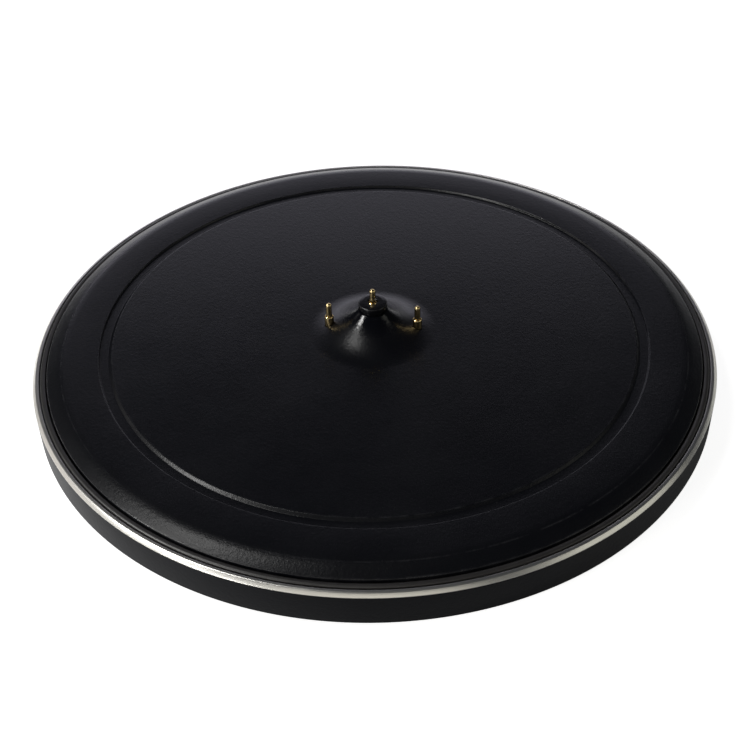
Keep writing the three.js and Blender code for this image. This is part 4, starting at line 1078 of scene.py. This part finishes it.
@dataclass
class Underside(SubAssembly):
    """What shows from below: feet, case screws and the centre cap. Sizes in millimetres."""

    foot_round: float = 0.9
    sole_dish: float = 0.28
    screw_shank: float = 1.2
    head_radius: float = 2.4
    head_height: float = 1.6
    dome_height: float = 0.75
    dome_deg: int = 50
    drive_length: float = 3.1
    drive_width: float = 0.62
    drive_depth: float = 0.95

    def foot(self, index: int) -> Piece:
        """One rubber foot, with a shallow dished sole and a ring."""
        node = f"rubber_foot_{index}"
        low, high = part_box(node)
        radius, top = (high.x - low.x) / 2 / MM, high.z / MM
        corners = [
            (0, self.sole_dish, 0.0),
            (radius * 0.55, self.sole_dish, 0.3),
            (radius * 0.6, 0, 0.12),
            (radius, 0, self.foot_round),
            (radius, top, 0.1),
            (0, top, 0.0),
        ]
        return placed(turned(f"foot_{index}", corners, 72, closed=False), ground_under(node))

    def screw(self, index: int) -> Piece:
        """One case screw, with a domed head and a cross recess."""
        node = f"case_screw_{index}"
        _, head, end = reach_of(node)
        full = math.radians(self.dome_deg)
        dome = []
        for degrees in range(0, self.dome_deg + 1, 10):
            angle = math.radians(degrees)
            radius = self.head_radius * math.sin(angle) / math.sin(full)
            rise = self.dome_height * (math.cos(angle) - math.cos(full)) / (1 - math.cos(full))
            dome.append((radius, head + self.dome_height - rise, 0.0))
        corners = [
            *dome,
            (self.head_radius, head + self.head_height, 0.1),
            (self.screw_shank, head + self.head_height, 0.0),
            (self.screw_shank, end, 0.2),
            (0, end, 0.0),
        ]
        piece = turned(f"cover_screw_{index}", corners, 48, closed=False)
        long, half = self.drive_length / 2, self.drive_width / 2
        for x, y in ((long, half), (half, long)):
            combine(piece, box("bar", (-x, -y, head - 1), (x, y, head + self.drive_depth)), Cut.REMOVE)
        return placed(tidy_edges(piece), ground_under(node))

    def centre_cap(self) -> Piece:
        """The disc that closes the well under the spindle."""
        radius, bottom, top = reach_of("centre_cap")
        corners = [
            (0, bottom + 0.3, 0.0),
            (radius - 2.2, bottom + 0.3, 0.3),
            (radius - 1.8, bottom, 0.2),
            (radius, bottom, 0.25),
            (radius, top, 0.1),
            (0, top, 0.0),
        ]
        return turned("well_cap", corners, 96, closed=False)

    def build(self) -> list[Piece]:
        """Makes the feet, the screws and the cap."""
        base = Body.BASE.value
        pieces = [self.settle(self.foot(i), FOOT_RUBBER, base, f"rubber_foot_{i}") for i in range(1, 5)]
        pieces += [self.settle(self.screw(i), ZINC_STEEL, base, f"case_screw_{i}") for i in range(1, 5)]
        pieces.append(self.settle(self.centre_cap(), CAP_BLACK, base, "centre_cap"))
        return pieces


@dataclass
class BackPanel(SubAssembly):
    """The power inlet and the switch's thumb piece. Sizes in millimetres."""

    collar: float = 2.8
    collar_length: float = 2.3
    mouth: float = 0.25
    bore: float = 1.9
    bore_depth: float = 9.0
    pin: float = 0.65
    ribs: int = 4
    rib_gap: tuple[float, float] = (0.12, 0.3)
    thumb_bevel: float = 0.1

    def inlet(self) -> Piece:
        """The inlet's block and round collar, with a chamfered bore."""
        low, high = (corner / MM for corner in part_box("dc_jack"))
        front = high.y
        piece = box("inlet_socket", tuple(low), (high.x, front - self.collar_length, high.z))
        back, end = front - self.collar_length - 1, front - self.bore_depth
        collar = [(0, back, 0.0), (self.collar, back, 0.0), (self.collar, front, 0.3), (0, front, 0.0)]
        bore = [
            (0, end, 0.0),
            (self.bore, end, 0.0),
            (self.bore, front - self.mouth, 0.0),
            (self.bore + 2 * self.mouth, front + self.mouth, 0.0),
            (0, front + self.mouth, 0.0),
        ]
        lay = towards_back("dc_jack")
        combine(piece, placed(turned("collar", collar, 64, closed=False), lay), Cut.JOIN)
        combine(piece, placed(turned("bore", bore, 64, closed=False), lay), Cut.REMOVE)
        return tidy_edges(piece)

    def inlet_pin(self) -> Piece:
        """The pin in the middle of the inlet, with a round end."""
        node = "dc_jack_pin"
        low, high = (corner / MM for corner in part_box(node))
        corners = [(0, low.y, 0.0), (self.pin, low.y, 0.1), (self.pin, high.y, 0.45), (0, high.y, 0.0)]
        return placed(turned("inlet_pin", corners, 40, closed=False, steps=6), towards_back(node))

    def thumb(self) -> Piece:
        """The switch's thumb piece, with grip ribs on its end."""
        low, high = (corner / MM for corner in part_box("switch_slider"))
        piece = box("switch_thumb", tuple(low), tuple(high))
        half, depth = self.rib_gap
        for i in range(1, self.ribs):
            x = low.x + (high.x - low.x) * i / self.ribs
            groove = box("groove", (x - half, high.y - depth, low.z - 1), (x + half, high.y + 1, high.z + 1))
            combine(piece, groove, Cut.REMOVE)
        bevel = piece.modifiers.new("edges", "BEVEL")
        bevel.width = self.thumb_bevel * MM
        bevel.segments = 2
        return tidy_edges(piece)

    def build(self) -> list[Piece]:
        """Makes the inlet, its pin and the thumb piece."""
        base = Body.BASE.value
        return [
            self.settle(self.inlet(), INNER_BLACK, base, "dc_jack"),
            self.settle(self.inlet_pin(), ZINC_STEEL, base, "dc_jack_pin"),
            self.settle(self.thumb(), CAP_BLACK, Body.SWITCH.value, "switch_slider"),
        ]


@dataclass
class Mechanism(SubAssembly):
    """The pieces inside, which keep their CAD shapes and get finishes."""

    finishes: dict[str, Finish] = field(default_factory=lambda: {
        "gear_plastic": ACETAL,
        "steel": ZINC_STEEL,
        "bronze": BUSH_BRONZE,
        "copper": TRACK_COPPER,
        "circuit_board": BOARD_GREEN,
        "sleeve_blue": SLEEVE_BLUE,
        "red_wire": WIRE_RED,
        "black_plastic": INNER_BLACK,
        "gold": CONTACT_GOLD,
    })

    def build(self) -> list[Piece]:
        """Dresses every CAD node that still shows.

        Returns:
            The dressed nodes' objects.
        """
        dressed = []
        for row in frame["record"]["subparts"]:
            node = frame["nodes"][row["node"]]
            if node.hide_render:
                continue
            self.finishes[row["material_slot"]].dress_node(row["node"])
            dressed.append(node)
        return dressed


# ------------------------------------------------------------------------------------------ studio


@dataclass
class Lamp:
    """One soft rectangular light, aimed at a point."""

    name: str
    place: Triple
    size: tuple[float, float]
    power: float
    colour: Triple = (1, 1, 1)
    aim: Triple = (0, 0, 0)

    def build(self) -> Piece:
        """Makes the light."""
        data = bpy.data.lights.new(self.name, "AREA")
        data.shape = "RECTANGLE"
        data.size, data.size_y = self.size
        data.energy = self.power
        data.color = self.colour
        lamp = bpy.data.objects.new(self.name, data)
        lamp.location = self.place
        lamp.rotation_euler = (Vector(self.aim) - Vector(self.place)).to_track_quat("-Z", "Y").to_euler()
        bpy.context.scene.collection.objects.link(lamp)
        return lamp


@dataclass
class Studio:
    """A pale floor, soft lights and the camera. Lengths in metres, angles in degrees."""

    lens: float = 60.2
    elevation: float = 39.86
    roll: float = -1.49
    distance: float = 0.46727
    slide_right: float = 0.000516
    slide_up: float = -0.014757
    floor_size: float = 5.0
    floor_paint: tuple[float, float] = (0.5, 0.93)
    floor_glow: tuple[float, float] = (0.05, 1.0)
    glow_reach: tuple[float, float] = (-0.13, 0.16)
    glow_lean: float = -0.8
    floor_seen: float = 0.86
    surround: Triple = (0.02624, 0.02784, 0.032)
    lamps: list[Lamp] = field(default_factory=lambda: [
        Lamp("high_window", (-0.74, 0.07, 1.38), (0.34, 0.42), 3.1, (1, 0.995, 0.98)),
        Lamp("side_window", (-1.155, -0.183, 1.017), (0.3, 0.3), 6.0, (1, 0.995, 0.98)),
        Lamp("left_front", (-1.12, -1.05, 0.68), (0.6, 0.45), 5.6, (1, 0.99, 0.97)),
        Lamp("left_wall", (-1.5, 0.3, 0.36), (0.9, 0.6), 1.05, (1, 0.95, 0.91), (0, 0, 0.03)),
        Lamp("right_wall", (1.33, -0.42, 0.78), (1.1, 0.75), 1.5, (1, 0.99, 0.88), (0, 0, 0.03)),
        Lamp("back_sheen", (-0.15, 2.2, 0.64), (2.1, 1.15), 5.8, (0.88, 0.86, 1.0), (0, 0, 0.1)),
        Lamp("back_low", (0.3, 1.7, 0.16), (2.4, 0.28), 0.85, (0.95, 0.95, 1.0), (0, 0, 0.03)),
        Lamp("front_fill", (-0.05, -1.5, 1.25), (1.6, 0.5), 2.5, (1, 0.97, 0.87)),
        Lamp("right_low", (1.2, 0.6, 0.07), (0.7, 0.12), 0.26, (0.98, 1, 0.93), (0, 0, 0.03)),
    ])

    def pale(self) -> tuple[float, ...]:
        """The tone that the floor and the surround show."""
        return (self.floor_seen, self.floor_seen, self.floor_seen, 1)

    def floor(self) -> None:
        """A plain pale floor under the feet, which throws more light from behind and the left."""
        mesh = bmesh.new()
        bmesh.ops.create_grid(mesh, x_segments=1, y_segments=1, size=self.floor_size / 2)
        floor = to_object("studio_floor", mesh)
        paint = bpy.data.materials.new("pale_floor")
        paint.use_nodes = True
        surface = paint.node_tree.nodes["Principled BSDF"]
        surface.inputs["Roughness"].default_value = 0.9
        surface.inputs["Specular IOR Level"].default_value = 0.1
        surface.inputs["Emission Strength"].default_value = 1.0
        shader = Shader(paint.node_tree)
        seen = shader.add("ShaderNodeLightPath").outputs["Is Camera Ray"]
        other, plain = ((tone, tone, tone, 1) for tone in self.floor_paint)
        shader.put(shader.mix(seen, other, plain), surface.inputs["Base Color"])
        x, y, _ = shader.split(shader.where())
        behind = shader.math("MULTIPLY_ADD", x, self.glow_lean, y)
        level = shader.scale(behind, *self.glow_reach, *self.floor_glow)
        join = shader.add("ShaderNodeCombineColor")
        for socket in join.inputs:
            shader.put(level, socket)
        shader.put(shader.mix(seen, join.outputs[0], self.pale()), surface.inputs["Emission Color"])
        floor.data.materials.append(paint)

    def sky(self) -> None:
        """A plain surround, pale behind the object and dim as a light."""
        world = bpy.data.worlds.new("surround")
        world.use_nodes = True
        back = world.node_tree.nodes["Background"]
        shader = Shader(world.node_tree)
        seen = shader.add("ShaderNodeLightPath").outputs["Is Camera Ray"]
        shader.put(shader.mix(seen, (*self.surround, 1), self.pale()), back.inputs["Color"])
        bpy.context.scene.world = world

    def camera(self) -> None:
        """The camera, above and in front, looking down at the platter."""
        up_angle, roll = math.radians(self.elevation), math.radians(self.roll)
        back = Vector((0, -math.cos(up_angle), math.sin(up_angle)))
        right = Vector((1, 0, 0))
        up = Vector((0, math.sin(up_angle), math.cos(up_angle)))
        across = right * math.cos(roll) + up * math.sin(roll)
        above = up * math.cos(roll) - right * math.sin(roll)
        rim = Vector((0, 0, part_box("trim_ring")[1].z))
        place = rim + back * self.distance + across * self.slide_right + above * self.slide_up
        data = bpy.data.cameras.new("camera")
        data.lens = self.lens
        data.sensor_width = 36
        camera = bpy.data.objects.new("camera", data)
        turn = Matrix((across, above, back)).transposed().to_4x4()
        camera.matrix_world = Matrix.Translation(place) @ turn
        bpy.context.scene.collection.objects.link(camera)
        bpy.context.scene.camera = camera

    def build(self) -> None:
        """Makes the studio."""
        self.floor()
        self.sky()
        for lamp in self.lamps:
            lamp.build()
        self.camera()
        bpy.context.scene.view_settings.view_transform = "Standard"


def main() -> None:
    """Builds the studio and each sub-assembly, and reports every piece."""
    logging.basicConfig(level=logging.INFO, format="%(name)s: %(message)s")
    Studio().build()
    for group in (Platter(), Contacts(), Rim(), BaseShell(), Underside(), BackPanel(), Mechanism()):
        for piece in group.build():
            LOG.info("%s: %s, %d faces", type(group).__name__, piece.name, len(piece.data.polygons))


if __name__ == "__main__":
    main()
